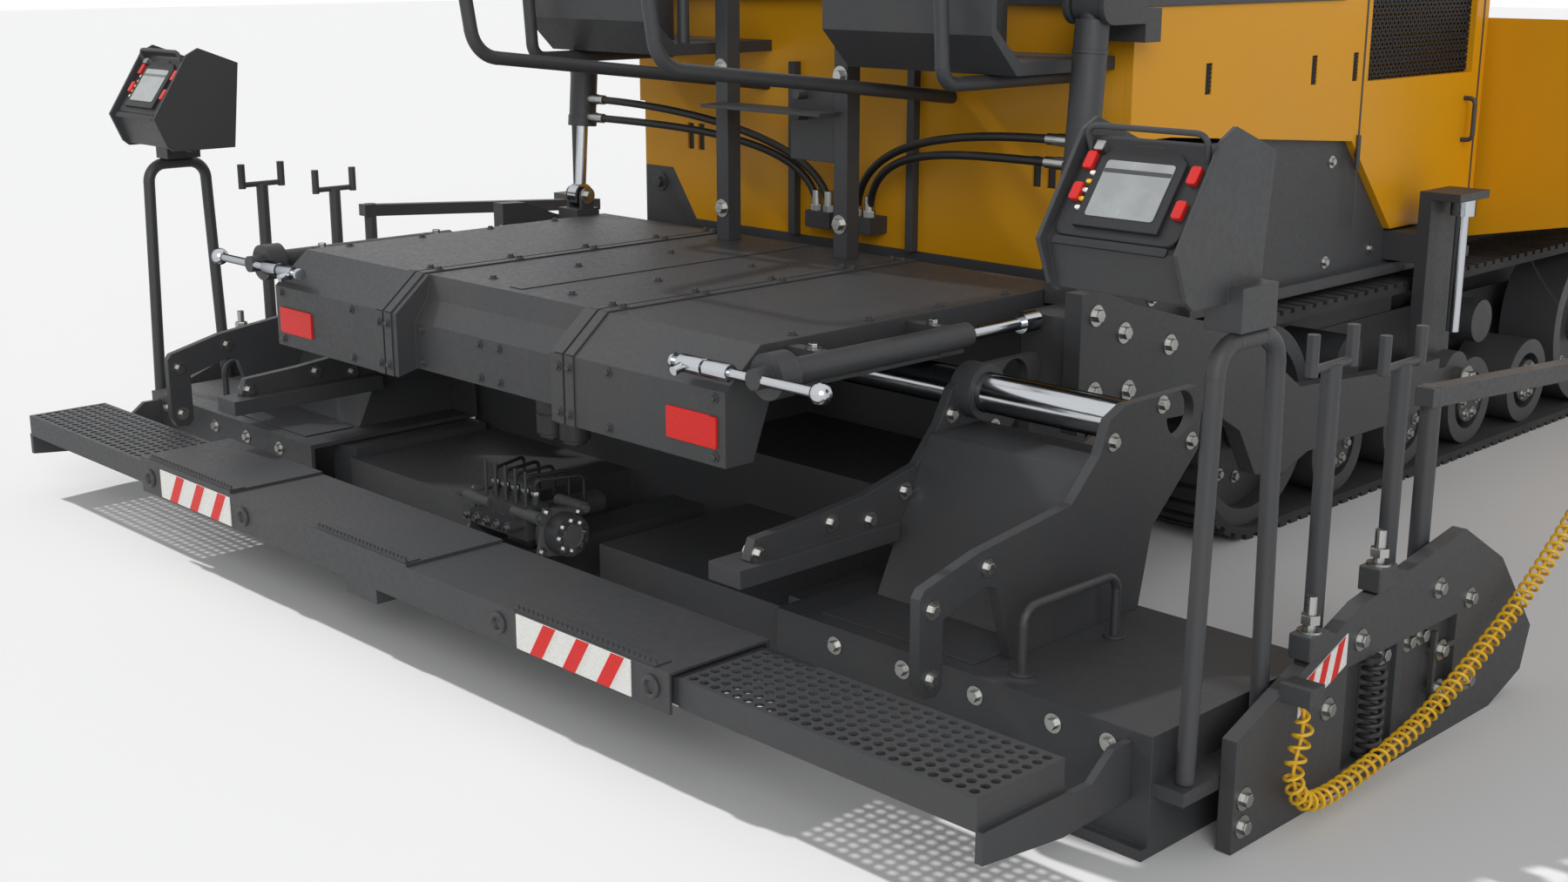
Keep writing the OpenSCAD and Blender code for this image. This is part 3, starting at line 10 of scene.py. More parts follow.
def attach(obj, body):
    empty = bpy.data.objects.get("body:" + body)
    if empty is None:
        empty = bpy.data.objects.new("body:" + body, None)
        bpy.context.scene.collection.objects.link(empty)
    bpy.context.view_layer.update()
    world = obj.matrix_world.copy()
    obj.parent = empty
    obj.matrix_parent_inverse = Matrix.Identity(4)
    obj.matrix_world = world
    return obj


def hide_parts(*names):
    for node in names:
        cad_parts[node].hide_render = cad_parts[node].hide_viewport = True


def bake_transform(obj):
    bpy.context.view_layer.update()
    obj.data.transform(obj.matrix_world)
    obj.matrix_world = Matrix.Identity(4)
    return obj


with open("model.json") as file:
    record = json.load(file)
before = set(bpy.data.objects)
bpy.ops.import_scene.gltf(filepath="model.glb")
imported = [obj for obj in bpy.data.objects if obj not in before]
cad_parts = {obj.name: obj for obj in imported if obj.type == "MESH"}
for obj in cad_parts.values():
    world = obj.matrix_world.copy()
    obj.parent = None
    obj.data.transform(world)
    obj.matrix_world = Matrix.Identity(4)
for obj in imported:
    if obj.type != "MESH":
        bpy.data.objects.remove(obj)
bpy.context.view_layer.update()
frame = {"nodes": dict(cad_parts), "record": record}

MID = 3.55
SIDES = (-1, 1)
BOTH = (("left", -1), ("right", 1))
X, Y, Z = Vector((1, 0, 0)), Vector((0, 1, 0)), Vector((0, 0, 1))
nodes = frame["nodes"]
scene = bpy.context.scene


def at(x, y, z):
    """A point given by its station along the machine."""
    return Vector((x, y - MID, z))


def linear(code):
    """sRGB hex to linear RGBA."""
    rgb = [int(code[i:i + 2], 16) / 255 for i in (1, 3, 5)]
    return [c / 12.92 if c <= 0.04045 else ((c + 0.055) / 1.055) ** 2.4 for c in rgb] + [1.0]


# Finishes

PLASTIC_IOR = 1.5
RELIEF = 0.001


def connect(node, sockets):
    """Gives each named socket of a node its value, or a link from an output."""
    for key, value in sockets.items():
        if isinstance(value, bpy.types.NodeSocket):
            node.id_data.links.new(value, node.inputs[key])
        else:
            node.inputs[key].default_value = value


def add(tree, kind, output, sockets=None, stops=(), **settings):
    """One node with its settings, ramp stops and links; gives back the output that is named."""
    node = tree.nodes.new("ShaderNode" + kind)
    for key, value in settings.items():
        setattr(node, key, value)
    if stops:
        for element, (position, colour) in zip(node.color_ramp.elements, stops):
            element.position = position
            element.color = colour
    connect(node, sockets or {})
    return node.outputs[output]


def finish(name, **sockets):
    """A material with its shader; sockets are constants on the shader itself."""
    made = bpy.data.materials.new(name)
    made.use_nodes = True
    shader = made.node_tree.nodes["Principled BSDF"]
    connect(shader, {key.replace("_", " "): value for key, value in sockets.items()})
    return made, made.node_tree, shader


def grey(value):
    return [value, value, value, 1.0]


def times(colour, factor):
    """The same colour, lighter or darker."""
    return [c * factor for c in colour[:3]] + [1.0]


def millimetres(size):
    """Pattern scale whose features are about this many millimetres across."""
    return 1000.0 / size


def machine_paint(name, colour, dust, gloss, dust_amount, lacquer):
    """Two-pack machine paint, sprayed on steel: an even coat with softened edges and thin road dust.

    Its orange peel is drawn 5 mm across, coarser than it is, so that it shows.
    """
    made, tree, shader = finish(name, IOR=lacquer)
    where = add(tree, "TexCoord", "Object")
    cloud = add(tree, "TexNoise", "Fac", {"Vector": where, "Scale": millimetres(420), "Detail": 6.0})
    settle = add(tree, "ValToRGB", "Color", {"Fac": cloud},
                 stops=((0.42, grey(0.0)), (0.72, grey(dust_amount))))
    tint = add(tree, "Mix", "Result", {"Factor": settle, "A": linear(colour), "B": linear(dust)},
               data_type="RGBA")
    speck = add(tree, "TexNoise", "Fac", {"Vector": where, "Scale": millimetres(14), "Detail": 3.0})
    sheen = add(tree, "ValToRGB", "Color", {"Fac": speck},
                stops=((0.3, grey(gloss)), (0.75, grey(gloss + 0.16))))
    peel = add(tree, "TexNoise", "Fac", {"Vector": where, "Scale": millimetres(5), "Detail": 2.0})
    edge = add(tree, "Bevel", "Normal", {"Radius": 0.004}, samples=4)
    bump = add(tree, "Bump", "Normal",
               {"Strength": 0.05, "Distance": RELIEF, "Height": peel, "Normal": edge})
    connect(shader, {"Base Color": tint, "Roughness": sheen, "Normal": bump})
    return made


def bare_metal(name, colour, rim, smooth, rough, grain):
    """Metal rubbed along one way by use: long scratches, uneven gloss, a darker shine at its edges.

    The scratches are drawn some millimetres apart, coarser than they are, so that they show.
    """
    made, tree, shader = finish(name, Metallic=1.0, Base_Color=linear(colour), Specular_Tint=linear(rim))
    where = add(tree, "TexCoord", "Object")
    drawn = add(tree, "Mapping", "Vector", {"Vector": where, "Scale": (0.06, 1.0, 1.0)})
    lines = add(tree, "TexNoise", "Fac", {"Vector": drawn, "Scale": millimetres(grain), "Detail": 4.0})
    sheen = add(tree, "ValToRGB", "Color", {"Fac": lines}, stops=((0.3, grey(smooth)), (0.75, grey(rough))))
    bump = add(tree, "Bump", "Normal", {"Strength": 0.04, "Distance": RELIEF / 2, "Height": lines})
    connect(shader, {"Roughness": sheen, "Normal": bump})
    return made


def moulded(name, colour, rough, grit, depth, mottle=0.12):
    """Moulded rubber or plastic, or a casting: even colour with paler patches of dust at random, moulded
    grain.

    The grain is drawn some millimetres across, coarser than it is, so that it shows.
    """
    made, tree, shader = finish(name, IOR=PLASTIC_IOR)
    where = add(tree, "TexCoord", "Object")
    cloud = add(tree, "TexNoise", "Fac", {"Vector": where, "Scale": millimetres(160), "Detail": 5.0})
    base = linear(colour)
    pale = [min(1.0, c * (1 + mottle * 3) + mottle * 0.02) for c in base[:3]] + [1.0]
    tint = add(tree, "ValToRGB", "Color", {"Fac": cloud}, stops=((0.4, base), (0.75, pale)))
    grain = add(tree, "TexNoise", "Fac", {"Vector": where, "Scale": millimetres(grit), "Detail": 3.0})
    sheen = add(tree, "ValToRGB", "Color", {"Fac": grain},
                stops=((0.3, grey(rough)), (0.7, grey(min(1.0, rough + 0.12)))))
    bump = add(tree, "Bump", "Normal", {"Strength": depth, "Distance": RELIEF, "Height": grain})
    connect(shader, {"Base Color": tint, "Roughness": sheen, "Normal": bump})
    return made


def upholstery(name, colour):
    """Black vinyl on foam: leather-like cells about 3 mm across, soft sheen; painted highlight on the cells,
    painted shade in their creases.
    """
    made, tree, shader = finish(name, IOR=PLASTIC_IOR)
    where = add(tree, "TexCoord", "Object")
    cells = add(tree, "TexVoronoi", "Distance", {"Vector": where, "Scale": millimetres(3)})
    base = linear(colour)
    # Painted highlight on the raised middle of each cell, painted shade in the creases between cells
    tint = add(tree, "ValToRGB", "Color", {"Fac": cells}, stops=((0.1, times(base, 1.6)), (0.7, base)))
    sheen = add(tree, "ValToRGB", "Color", {"Fac": cells}, stops=((0.0, grey(0.55)), (0.6, grey(0.38))))
    bump = add(tree, "Bump", "Normal", {"Strength": 0.25, "Distance": RELIEF, "Height": cells}, invert=True)
    connect(shader, {"Base Color": tint, "Roughness": sheen, "Normal": bump})
    return made


def prism_sheet(name, colour):
    """Reflective sheeting: glossy film over a small honeycomb about 4 mm across."""
    made, tree, shader = finish(name, IOR=1.35, Coat_Weight=0.1, Coat_Roughness=0.15)
    where = add(tree, "TexCoord", "Object")
    cells = add(tree, "TexVoronoi", "Distance", {"Vector": where, "Scale": millimetres(4)})
    base = linear(colour)
    tint = add(tree, "ValToRGB", "Color", {"Fac": cells}, stops=((0.2, base), (0.75, times(base, 0.82))))
    sheen = add(tree, "ValToRGB", "Color", {"Fac": cells}, stops=((0.1, grey(0.3)), (0.8, grey(0.45))))
    connect(shader, {"Base Color": tint, "Roughness": sheen})
    return made


def display_glass(name, colour):
    """Flat glass over a display or a lamp: even, mirror-smooth, with faint smears."""
    made, tree, shader = finish(name, IOR=PLASTIC_IOR, Coat_Weight=1.0, Coat_Roughness=0.03)
    where = add(tree, "TexCoord", "Object")
    smear = add(tree, "TexNoise", "Fac", {"Vector": where, "Scale": millimetres(60), "Detail": 3.0})
    base = linear(colour)
    tint = add(tree, "ValToRGB", "Color", {"Fac": smear}, stops=((0.35, base), (0.75, times(base, 1.25))))
    sheen = add(tree, "ValToRGB", "Color", {"Fac": smear}, stops=((0.3, grey(0.12)), (0.7, grey(0.28))))
    connect(shader, {"Base Color": tint, "Roughness": sheen})
    return made


charcoal = machine_paint("satin_charcoal_paint", "#3A3B3D", "#5A554D", gloss=0.44, dust_amount=0.12,
                         lacquer=1.46)
yellow = machine_paint("gloss_yellow_paint", "#D9980F", "#A98A4E", gloss=0.30, dust_amount=0.10,
                       lacquer=1.34)
chrome = bare_metal("hard_chrome", "#C2C5C9", "#54575C", smooth=0.08, rough=0.20, grain=3)
zinc = bare_metal("zinc_plated_bolts", "#B4B5B2", "#6E6F6D", smooth=0.25, rough=0.42, grain=4)
steel = bare_metal("mix_polished_steel", "#8A8783", "#5A5754", smooth=0.30, rough=0.52, grain=6)
iron = moulded("engine_cast_iron", "#4A4B4A", rough=0.62, grit=3, depth=0.3)
belt = moulded("track_rubber", "#1C1C1C", rough=0.74, grit=4, depth=0.35, mottle=0.3)
hose_cover = moulded("hydraulic_hose_rubber", "#161616", rough=0.48, grit=2, depth=0.15)
cord_jacket = moulded("coiled_cord_polyurethane", "#E3B21F", rough=0.32, grit=6, depth=0.03, mottle=0.05)
black_abs = moulded("black_moulded_abs", "#1B1C1E", rough=0.46, grit=1.5, depth=0.12)
red_knob = moulded("red_moulded_abs", "#C4201C", rough=0.30, grit=2, depth=0.05, mottle=0.05)
white_knob = moulded("white_moulded_abs", "#E4E2DC", rough=0.35, grit=2, depth=0.05, mottle=0.04)
vinyl = upholstery("black_seat_vinyl", "#1B1B1D")
red_film = prism_sheet("red_reflective_film", "#E3201A")
white_film = prism_sheet("white_reflective_film", "#EEEDE8")
screen = display_glass("display_glass", "#8B8F8F")
# Dark glass: the consoles' dark displays, and the painted reflection strip on the control-box screens
dark_glass_and_painted_reflection = display_glass("dark_display_glass_and_painted_reflection", "#15181B")
lens = display_glass("lamp_lens_glass", "#D9DCDD")
finishes = {"body_yellow": yellow, "charcoal": charcoal, "chrome_rod": chrome, "worn_steel": steel,
            "engine_iron": iron, "seat_vinyl": vinyl, "lamp_lens": charcoal, "track_rubber": belt,
            "hose_rubber": hose_cover, "cord_yellow": cord_jacket}
for part in frame["record"]["subparts"]:
    mesh = nodes[part["node"]].data
    mesh.materials.clear()
    mesh.materials.append(finishes[part["material_slot"]])


def refinish(node, material, test):
    """Faces of a node whose middle passes the test take another finish."""
    mesh = nodes[node].data
    mesh.materials.append(material)
    for face in mesh.polygons:
        c = face.center
        if test(abs(c.x), c.y + MID, c.z):
            face.material_index = len(mesh.materials) - 1


# Building in mesh code

SMOOTH_BELOW = math.radians(40)
CORNER_STEPS = 4
BEND_STEPS = 6
COLLAR_SIDES = 40


def piece(name, bm, material, body, smooth=False):
    """A finished mesh piece that rides on a body."""
    mesh = bpy.data.meshes.new(name)
    bmesh.ops.recalc_face_normals(bm, faces=bm.faces)
    bm.to_mesh(mesh)
    bm.free()
    for one in material if isinstance(material, tuple) else (material,):
        mesh.materials.append(one)
    if smooth:
        mesh.shade_smooth()
        mesh.set_sharp_from_angle(angle=SMOOTH_BELOW)
    made = bpy.data.objects.new(name, mesh)
    scene.collection.objects.link(made)
    if body:
        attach(made, body)
    return made


def slab(bm, origin, u, v, w, outline, thick, material=0, bevel=0.0):
    """Outline in (u, v) about origin, standing out along w; a bevel rounds its outer edges."""
    low = [bm.verts.new(origin + u * a + v * b) for a, b in outline]
    high = [bm.verts.new(origin + u * a + v * b + w * thick) for a, b in outline]
    count = len(outline)
    faces = [bm.faces.new(high), bm.faces.new(list(reversed(low)))]
    for i in range(count):
        j = (i + 1) % count
        faces.append(bm.faces.new((low[i], low[j], high[j], high[i])))
    for face in faces:
        face.material_index = material
    if bevel:
        edges = list(faces[0].edges)
        made = bmesh.ops.bevel(bm, geom=edges, offset=bevel, segments=2, affect="EDGES", profile=0.6)
        for face in made["faces"]:
            face.material_index = material


def rect(x0, y0, x1, y1):
    return [(x0, y0), (x1, y0), (x1, y1), (x0, y1)]


def rounded(w, h, r):
    """Corner points of a rounded rectangle about its middle."""
    out = []
    for sx, sy, a in ((1, 1, 0), (-1, 1, 90), (-1, -1, 180), (1, -1, 270)):
        for k in range(CORNER_STEPS + 1):
            t = math.radians(a + 90 * k / CORNER_STEPS)
            out.append((sx * (w / 2 - r) + r * math.cos(t), sy * (h / 2 - r) + r * math.sin(t)))
    return out


def circle(r, n, start=0.0):
    turns = [2 * math.pi * k / n + start for k in range(n)]
    return [(r * math.cos(t), r * math.sin(t)) for t in turns]


def around(centre, u, v, r, n, start=0.0):
    """Points of a circle about a centre."""
    return [centre + u * a + v * b for a, b in circle(r, n, start)]


def frame_of(w):
    """Two directions square to w."""
    u = Z.cross(w)
    if u.length < 0.1:
        u = X.copy()
    u.normalize()
    return u, w.cross(u)


def bolt(bm, place, w, size):
    """Hex head on a washer, standing out along w; size is the width across the flats."""
    u, v = frame_of(w)
    washer = size * 0.14
    slab(bm, place, u, v, w, circle(size * 0.95, 20), washer)
    slab(bm, place + w * washer, u, v, w, circle(size * 0.577, 6), size * 0.5, bevel=size * 0.06)


def bolts(name, spots, body, size, material=zinc):
    """One piece of many bolts; each spot is a point and the way its head looks."""
    bm = bmesh.new()
    for place, way in spots:
        bolt(bm, place, Vector(way).normalized(), size)
    piece(name, bm, material, body)


def ring_of(centre, way, radius, count):
    """Spots of a bolt circle."""
    u, v = frame_of(way)
    return [(p, way) for p in around(centre, u, v, radius, count)]


def collar(bm, centre, w, inner, outer, thick, material):
    """Flat ring about w, open in the middle."""
    u, v = frame_of(w)
    corners = ((inner, 0.0), (outer, 0.0), (outer, thick), (inner, thick))
    rings = [[bm.verts.new(p) for p in around(centre + w * h, u, v, r, COLLAR_SIDES)] for r, h in corners]
    for a, b in zip(rings, rings[1:] + rings[:1]):
        for k in range(COLLAR_SIDES):
            j = (k + 1) % COLLAR_SIDES
            bm.faces.new((a[k], a[j], b[j], b[k])).material_index = material


def sweep(bm, points, radius, sides, material=0, closed=False):
    """Round tube along points, its rings carried on without twist."""
    points = [Vector(p) for p in points]
    count = len(points)
    rings = []
    side = None
    for i, p in enumerate(points):
        if closed:
            t = points[(i + 1) % count] - points[i - 1]
        else:
            t = points[min(i + 1, count - 1)] - points[max(i - 1, 0)]
        t.normalize()
        if side is None:
            side = frame_of(t)[0]
        side = (side - t * side.dot(t)).normalized()
        r = radius(i / (count - 1)) if callable(radius) else radius
        rings.append([bm.verts.new(q) for q in around(p, side, t.cross(side), r, sides)])
    for i in range(count if closed else count - 1):
        a, b = rings[i], rings[(i + 1) % count]
        for k in range(sides):
            j = (k + 1) % sides
            bm.faces.new((a[k], a[j], b[j], b[k])).material_index = material
    if not closed:
        bm.faces.new(list(reversed(rings[0]))).material_index = material
        bm.faces.new(rings[-1]).material_index = material


def through(points, n):
    """Smooth route through points, n steps to a stretch."""
    p = [Vector(q) for q in points]
    out = []
    for i in range(len(p) - 1):
        a, b, c, d = p[max(i - 1, 0)], p[i], p[i + 1], p[min(i + 2, len(p) - 1)]
        square = 2 * a - 5 * b + 4 * c - d
        cube = 3 * b - a - 3 * c + d
        for k in range(n):
            t = k / n
            out.append(b + (c - a) * t / 2 + square * t * t / 2 + cube * t ** 3 / 2)
    return out + [p[-1]]


def length_of(points):
    return sum((b - a).length for a, b in zip(points, points[1:]))


def bent(points, bend):
    """Route with round bends at its corners."""
    p = [Vector(q) for q in points]
    out = [p[0]]
    for a, b, c in zip(p, p[1:], p[2:]):
        u, v = (b - a).normalized(), (c - b).normalized()
        reach = bend * math.tan(u.angle(v) / 2)
        for k in range(BEND_STEPS + 1):
            t = k / BEND_STEPS
            out.append((b - u * reach) * (1 - t) ** 2 + b * 2 * t * (1 - t) + (b + v * reach) * t * t)
    return out + [p[-1]]


def handle(bm, foot, head, stand, bend, radius):
    """Round bar between two feet, standing off by a vector."""
    sweep(bm, bent([foot, foot + stand, head + stand, head], bend), radius, 12)


# Camera at the photograph's place

LOOKS_DOWN, LOOKS_ROUND = 14.6, 45.7
camera = bpy.data.objects.new("camera", bpy.data.cameras.new("camera"))
camera.data.sensor_width = 36.0
camera.data.lens = 43.456
camera.data.clip_end = 200.0
camera.location = at(4.676, -2.816, 2.025)
camera.rotation_euler = (math.radians(90 - LOOKS_DOWN), 0.0, math.radians(LOOKS_ROUND))
scene.collection.objects.link(camera)
scene.camera = camera
scene.view_settings.view_transform = "Standard"

# Cords and hoses

CORD_START, CORD_END = (2.590, 0.905, 0.330), (2.550, 2.760)
CORD_XS = (0, 0, 0, 0, 0, 0, 0, 0.25, 1, 1)
CORD_YS = (0, 0, -0.0135, 0.0296, 0.148, 0.353, 0.6226, 0.86, 0.989, 1)
CORD_ZS = (1, 0.773, 0.455, 0.2, 0.194, 0.394, 1.015, 1.818, 2.303, 2.56)
COIL_R = 0.0215
WIRE_R = 0.0045
ROPE_R = 0.0045
COIL_PITCH = 0.034
COIL_STEPS = 20
COIL_TAPER = 0.06


def curl(route):
    """Helix of the coiled cord about its route, straight at both ends."""
    total = length_of(route)
    steps = []
    side = X
    marks = [0.0]
    for a, b in zip(route, route[1:]):
        marks.append(marks[-1] + (b - a).length)
    count = int(total / COIL_PITCH * COIL_STEPS)
    j = 0
    for k in range(count + 1):
        s = total * k / count
        while j < len(marks) - 2 and marks[j + 1] < s:
            j += 1
        t = (s - marks[j]) / (marks[j + 1] - marks[j])
        way = (route[j + 1] - route[j]).normalized()
        side = (side - way * side.dot(way)).normalized()
        turn = 2 * math.pi * s / COIL_PITCH
        grow = min(1.0, s / COIL_TAPER, (total - s) / COIL_TAPER)
        centre = route[j].lerp(route[j + 1], t)
        steps.append(centre + (side * math.cos(turn) + way.cross(side) * math.sin(turn)) * COIL_R * grow)
    return steps


def coil_cords():
    """Each cord is a coil about the straight rope that carries it."""
    (x0, y0, z0), (x1, y1) = CORD_START, CORD_END
    for side, s in BOTH:
        marks = [at(s * (x0 + a * (x1 - x0)), y0 + b * (y1 - y0), c * z0)
                 for a, b, c in zip(CORD_XS, CORD_YS, CORD_ZS)]
        route = through(marks, 16)
        wire = curl(route)
        bm = bmesh.new()
        sweep(bm, wire, WIRE_R, 6)
        cord = piece("coiled_cord_" + side, bm, cord_jacket, "extension_" + side, True)
        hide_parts("coil_cord_" + side)
        bm = bmesh.new()
        sweep(bm, route, ROPE_R, 8)
        rope = piece("cord_rope_" + side, bm, cord_jacket, "extension_" + side, True)


LIFT_TOP = (1.860, 1.860)
LIFT_LEAN = math.atan(0.060 / 0.770)
HOSE_R = 0.0138
HOSE_DROPS = (0.400, 0.470)
HOSE_XS, HOSE_Y = (0.070, 0.130), 2.040
HOSE_STEPS = 32


def beside_barrel(x, drop):
    """A point this far down the leaning lift barrel."""
    return at(x, LIFT_TOP[0] - drop * math.sin(LIFT_LEAN), LIFT_TOP[1] - drop * math.cos(LIFT_LEAN))


def lift_hoses():
    for side, s in BOTH:
        for i, (drop, x) in enumerate(zip(HOSE_DROPS, HOSE_XS)):
            a = beside_barrel(s * 1.1137, drop)
            d = at(s * x, HOSE_Y, 1.1114)
            b, c = a - X * s * 0.480, d + Z * 0.260
            route = []
            for k in range(HOSE_STEPS + 1):
                t = k / HOSE_STEPS
                u = 1 - t
                route.append(a * u ** 3 + b * 3 * t * u ** 2 + c * 3 * t * t * u + d * t ** 3)
            bm = bmesh.new()
            sweep(bm, route, HOSE_R, 14)
            hose = piece("lift_hose_%s_%d" % (side, i), bm, hose_cover, None, True)
            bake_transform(hose)
            if s < 0 and i == 0:
                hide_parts("lift_hoses")


coil_cords()
lift_hoses()

# Floor and light

FLOOR_HALF = 60.0
FLOOR_DROP = 0.001
SKY_STRENGTH = 0.42


def stage():
    """Pale floor, a soft sky for the light, and white where the camera or a reflection sees it."""
    paint = finish("pale_studio_floor", Base_Color=linear("#E9E9E8"), Roughness=0.9, IOR=1.2)[0]
    bm = bmesh.new()
    bmesh.ops.create_grid(bm, x_segments=1, y_segments=1, size=FLOOR_HALF)
    mesh = bpy.data.meshes.new("floor")
    bm.to_mesh(mesh)
    bm.free()
    mesh.materials.append(paint)
    floor = bpy.data.objects.new("floor", mesh)
    floor.location.z = -FLOOR_DROP
    scene.collection.objects.link(floor)
    world = bpy.data.worlds.new("studio")
    world.use_nodes = True
    scene.world = world
    tree = world.node_tree
    where = add(tree, "TexCoord", "Generated")
    height = add(tree, "SeparateXYZ", "Z", {"Vector": where})
    sky = add(tree, "ValToRGB", "Color", {"Fac": height},
              stops=((0.0, linear("#9AA0A8")), (0.75, linear("#FBFCFF"))))
    light = add(tree, "Background", "Background", {"Color": sky, "Strength": SKY_STRENGTH})
    white = add(tree, "Background", "Background", {"Color": linear("#FFFFFF"), "Strength": 1.0})
    seen = add(tree, "LightPath", "Is Camera Ray")
    for ray in ("Is Glossy Ray", "Is Transmission Ray"):
        other = add(tree, "LightPath", ray)
        seen = add(tree, "Math", "Value", {0: seen, 1: other}, operation="MAXIMUM")
    both = add(tree, "MixShader", "Shader", {"Fac": seen, 1: light, 2: white})
    connect(tree.nodes["World Output"], {"Surface": both})


def sun(name, direction, strength, spread, glints):
    """Sun lamp; spread is its width in degrees, and glints says if shiny faces mirror it."""
    data = bpy.data.lights.new(name, "SUN")
    data.energy = strength
    data.angle = math.radians(spread)
    lamp = bpy.data.objects.new(name, data)
    lamp.rotation_euler = Vector(direction).to_track_quat("-Z", "Y").to_euler()
    lamp.visible_glossy = glints
    scene.collection.objects.link(lamp)


stage()
sun("key_sun", (1.2, 0.12, -1.0), strength=2.9, spread=2.0, glints=False)
sun("wide_fill", (-0.75, 0.66, -0.42), strength=1.3, spread=40.0, glints=True)

# Step board: saw-toothed edges, striped plates, end rings

TREADS = ((-1.330, -0.772, 0.330), (-0.250, 0.235, 0.322), (0.754, 1.333, 0.314))
TOOTH_PITCH = 0.020
TOOTH = ((0.06, 0.006), (0.40, 0.015), (0.60, 0.015), (0.94, 0.006))
PLATE_ENDS, PLATE_LOW, PLATE_HIGH = (0.770, 1.245), 0.212, 0.309
PLATE_THICK = 0.003
FILM_THICK = 0.001
STRIPE_WIDE, STRIPE_LEAN = 0.052, 0.062
RING_XS, RING_Z = (-1.322, -0.688, 0.688, 1.322), 0.262


def step_details():
    bm = bmesh.new()
    for x0, x1, z in TREADS:
        teeth = int((x1 - x0) / TOOTH_PITCH)
        pitch = (x1 - x0) / teeth
        outline = [(x1, -0.002), (x0, -0.002)]
        for k in range(teeth):
            outline += [(x0 + (k + a) * pitch, b) for a, b in TOOTH]
        slab(bm, at(0, 0.014, z), X, Z, -Y, outline, 0.008)
        slab(bm, at(0, 0.002, z), X, Y, Z, rect(x0, 0.0, x1, 0.055), 0.003)
    piece("step_teeth", bm, charcoal, "screed")
    bm = bmesh.new()
    for s in SIDES:
        x0, x1 = sorted(s * x for x in PLATE_ENDS)
        slab(bm, at(0, 0, 0), X, Z, -Y, rect(x0, PLATE_LOW, x1, PLATE_HIGH), PLATE_THICK)
        step = (x1 - x0) / 3.4
        for k in range(3):
            a = x0 + (k + 0.42) * step
            b = a + STRIPE_WIDE
            stripe = [(a, PLATE_LOW), (b, PLATE_LOW), (b + STRIPE_LEAN, PLATE_HIGH),
                      (a + STRIPE_LEAN, PLATE_HIGH)]
            slab(bm, at(0, -PLATE_THICK, 0), X, Z, -Y, stripe, FILM_THICK, 1)
    piece("step_hazard_plates", bm, (white_film, red_film), "screed")
    bm = bmesh.new()
    for x in RING_XS:
        sweep(bm, around(at(x, -0.003, RING_Z), X, Z, 0.024, 28), 0.0075, 8, closed=True)
        slab(bm, at(x, 0.0, RING_Z), X, Z, -Y, circle(0.018, 20), 0.002)
    piece("step_rings", bm, charcoal, "screed", True)


# Deck cover: lapped bands, screws, rear reflectors

DECK_BACK, DECK_TOP = 0.420, 1.015
DECK_LINE = ((DECK_BACK, 0.700), (DECK_BACK, 0.905), (0.550, DECK_TOP), (1.868, DECK_TOP))
BAND_XS, BAND_WIDE, BAND_THICK = (0.422, 0.470), 0.038, 0.005


def deck_details():
    bm = bmesh.new()
    heads = []
    for s in SIDES:
        for x in BAND_XS:
            for (y0, z0), (y1, z1) in zip(DECK_LINE, DECK_LINE[1:]):
                run = Vector((0, y1 - y0, z1 - z0))
                way = run.normalized()
                out = X.cross(way)
                if out.z < -0.1 or out.y > 0.1:
                    out = -out
                slab(bm, at(s * x, y0, z0), X * s, way, out, rect(0, 0, BAND_WIDE, run.length), BAND_THICK,
                     bevel=0.001)
            mid = s * (x + BAND_WIDE / 2)
            heads += [(at(mid, DECK_BACK - BAND_THICK, z), -Y) for z in (0.735, 0.870)]
            heads += [(at(mid, y, DECK_TOP + BAND_THICK), Z) for y in (0.62, 0.94, 1.26, 1.58, 1.82)]
        heads += [(at(s * x, DECK_BACK, z), -Y) for x in (0.66, 1.10) for z in (0.725, 0.885)]
        heads += [(at(s * 1.105, y, DECK_TOP), Z) for y in (0.70, 1.00, 1.30, 1.60)]
        heads += [(at(s * 0.20, y, DECK_TOP), Z) for y in (0.66, 1.00, 1.40)]
        heads += [(at(s * x, 0.490, z), -Y) for x in (0.05, 0.36) for z in (0.745, 0.850)]
    slab(bm, at(-0.03, 0.60, DECK_TOP), X, Y, Z, rect(0, 0, 0.06, 1.26), 0.003, bevel=0.001)
    piece("deck_bands", bm, charcoal, "screed")
    bolts("deck_screws", heads, "screed", 0.016, charcoal)
    bm = bmesh.new()
    for s in SIDES:
        slab(bm, at(s * 1.010, DECK_BACK, 0.792), X, Z, -Y, rounded(0.200, 0.088, 0.006), 0.007, bevel=0.002)
    piece("rear_reflectors", bm, red_film, "screed")


# Cranks for the paving depth: bright bars, grips, bolts

CRANK_X, BAR_Y, BAR_Z = 1.27, 0.410, 0.965


def crank_details():
    refinish("depth_cranks", chrome,
             lambda x, y, z: y < 0.436 and abs(x - CRANK_X) > 0.040 and abs(z - BAR_Z) < 0.04)
    refinish("depth_cranks", chrome, lambda x, y, z: y > 1.232 and z > 0.93)
    bm = bmesh.new()
    heads = []
    for s in SIDES:
        out = X * s
        for x in (0.985, 1.085):
            slab(bm, at(s * x, BAR_Y, BAR_Z), Y, Z, out, circle(0.024, 20), 0.090, bevel=0.004)
        slab(bm, at(s * 0.962, BAR_Y, BAR_Z), Y, Z, -out, circle(0.022, 20), 0.012, bevel=0.004)
        sweep(bm, [at(s * 1.005, BAR_Y, BAR_Z), at(s * 1.005, 0.360, 0.952)], 0.013, 12)
        slab(bm, at(s * 1.242, 1.500, BAR_Z), Y, Z, out, circle(0.013, 16), 0.056)
        heads += [(at(s * 1.235, y, 0.924), Z) for y in (0.60, 0.80, 1.00, 1.19)]
        heads += [(at(s * 1.225, y, 1.001), Z) for y in (0.66, 1.14)]
    piece("crank_grips", bm, chrome, "screed", True)
    bolts("crank_bolts", heads, "screed", 0.024)


# Extensions: bolts of the side plates, feet of the deflectors, closing lips

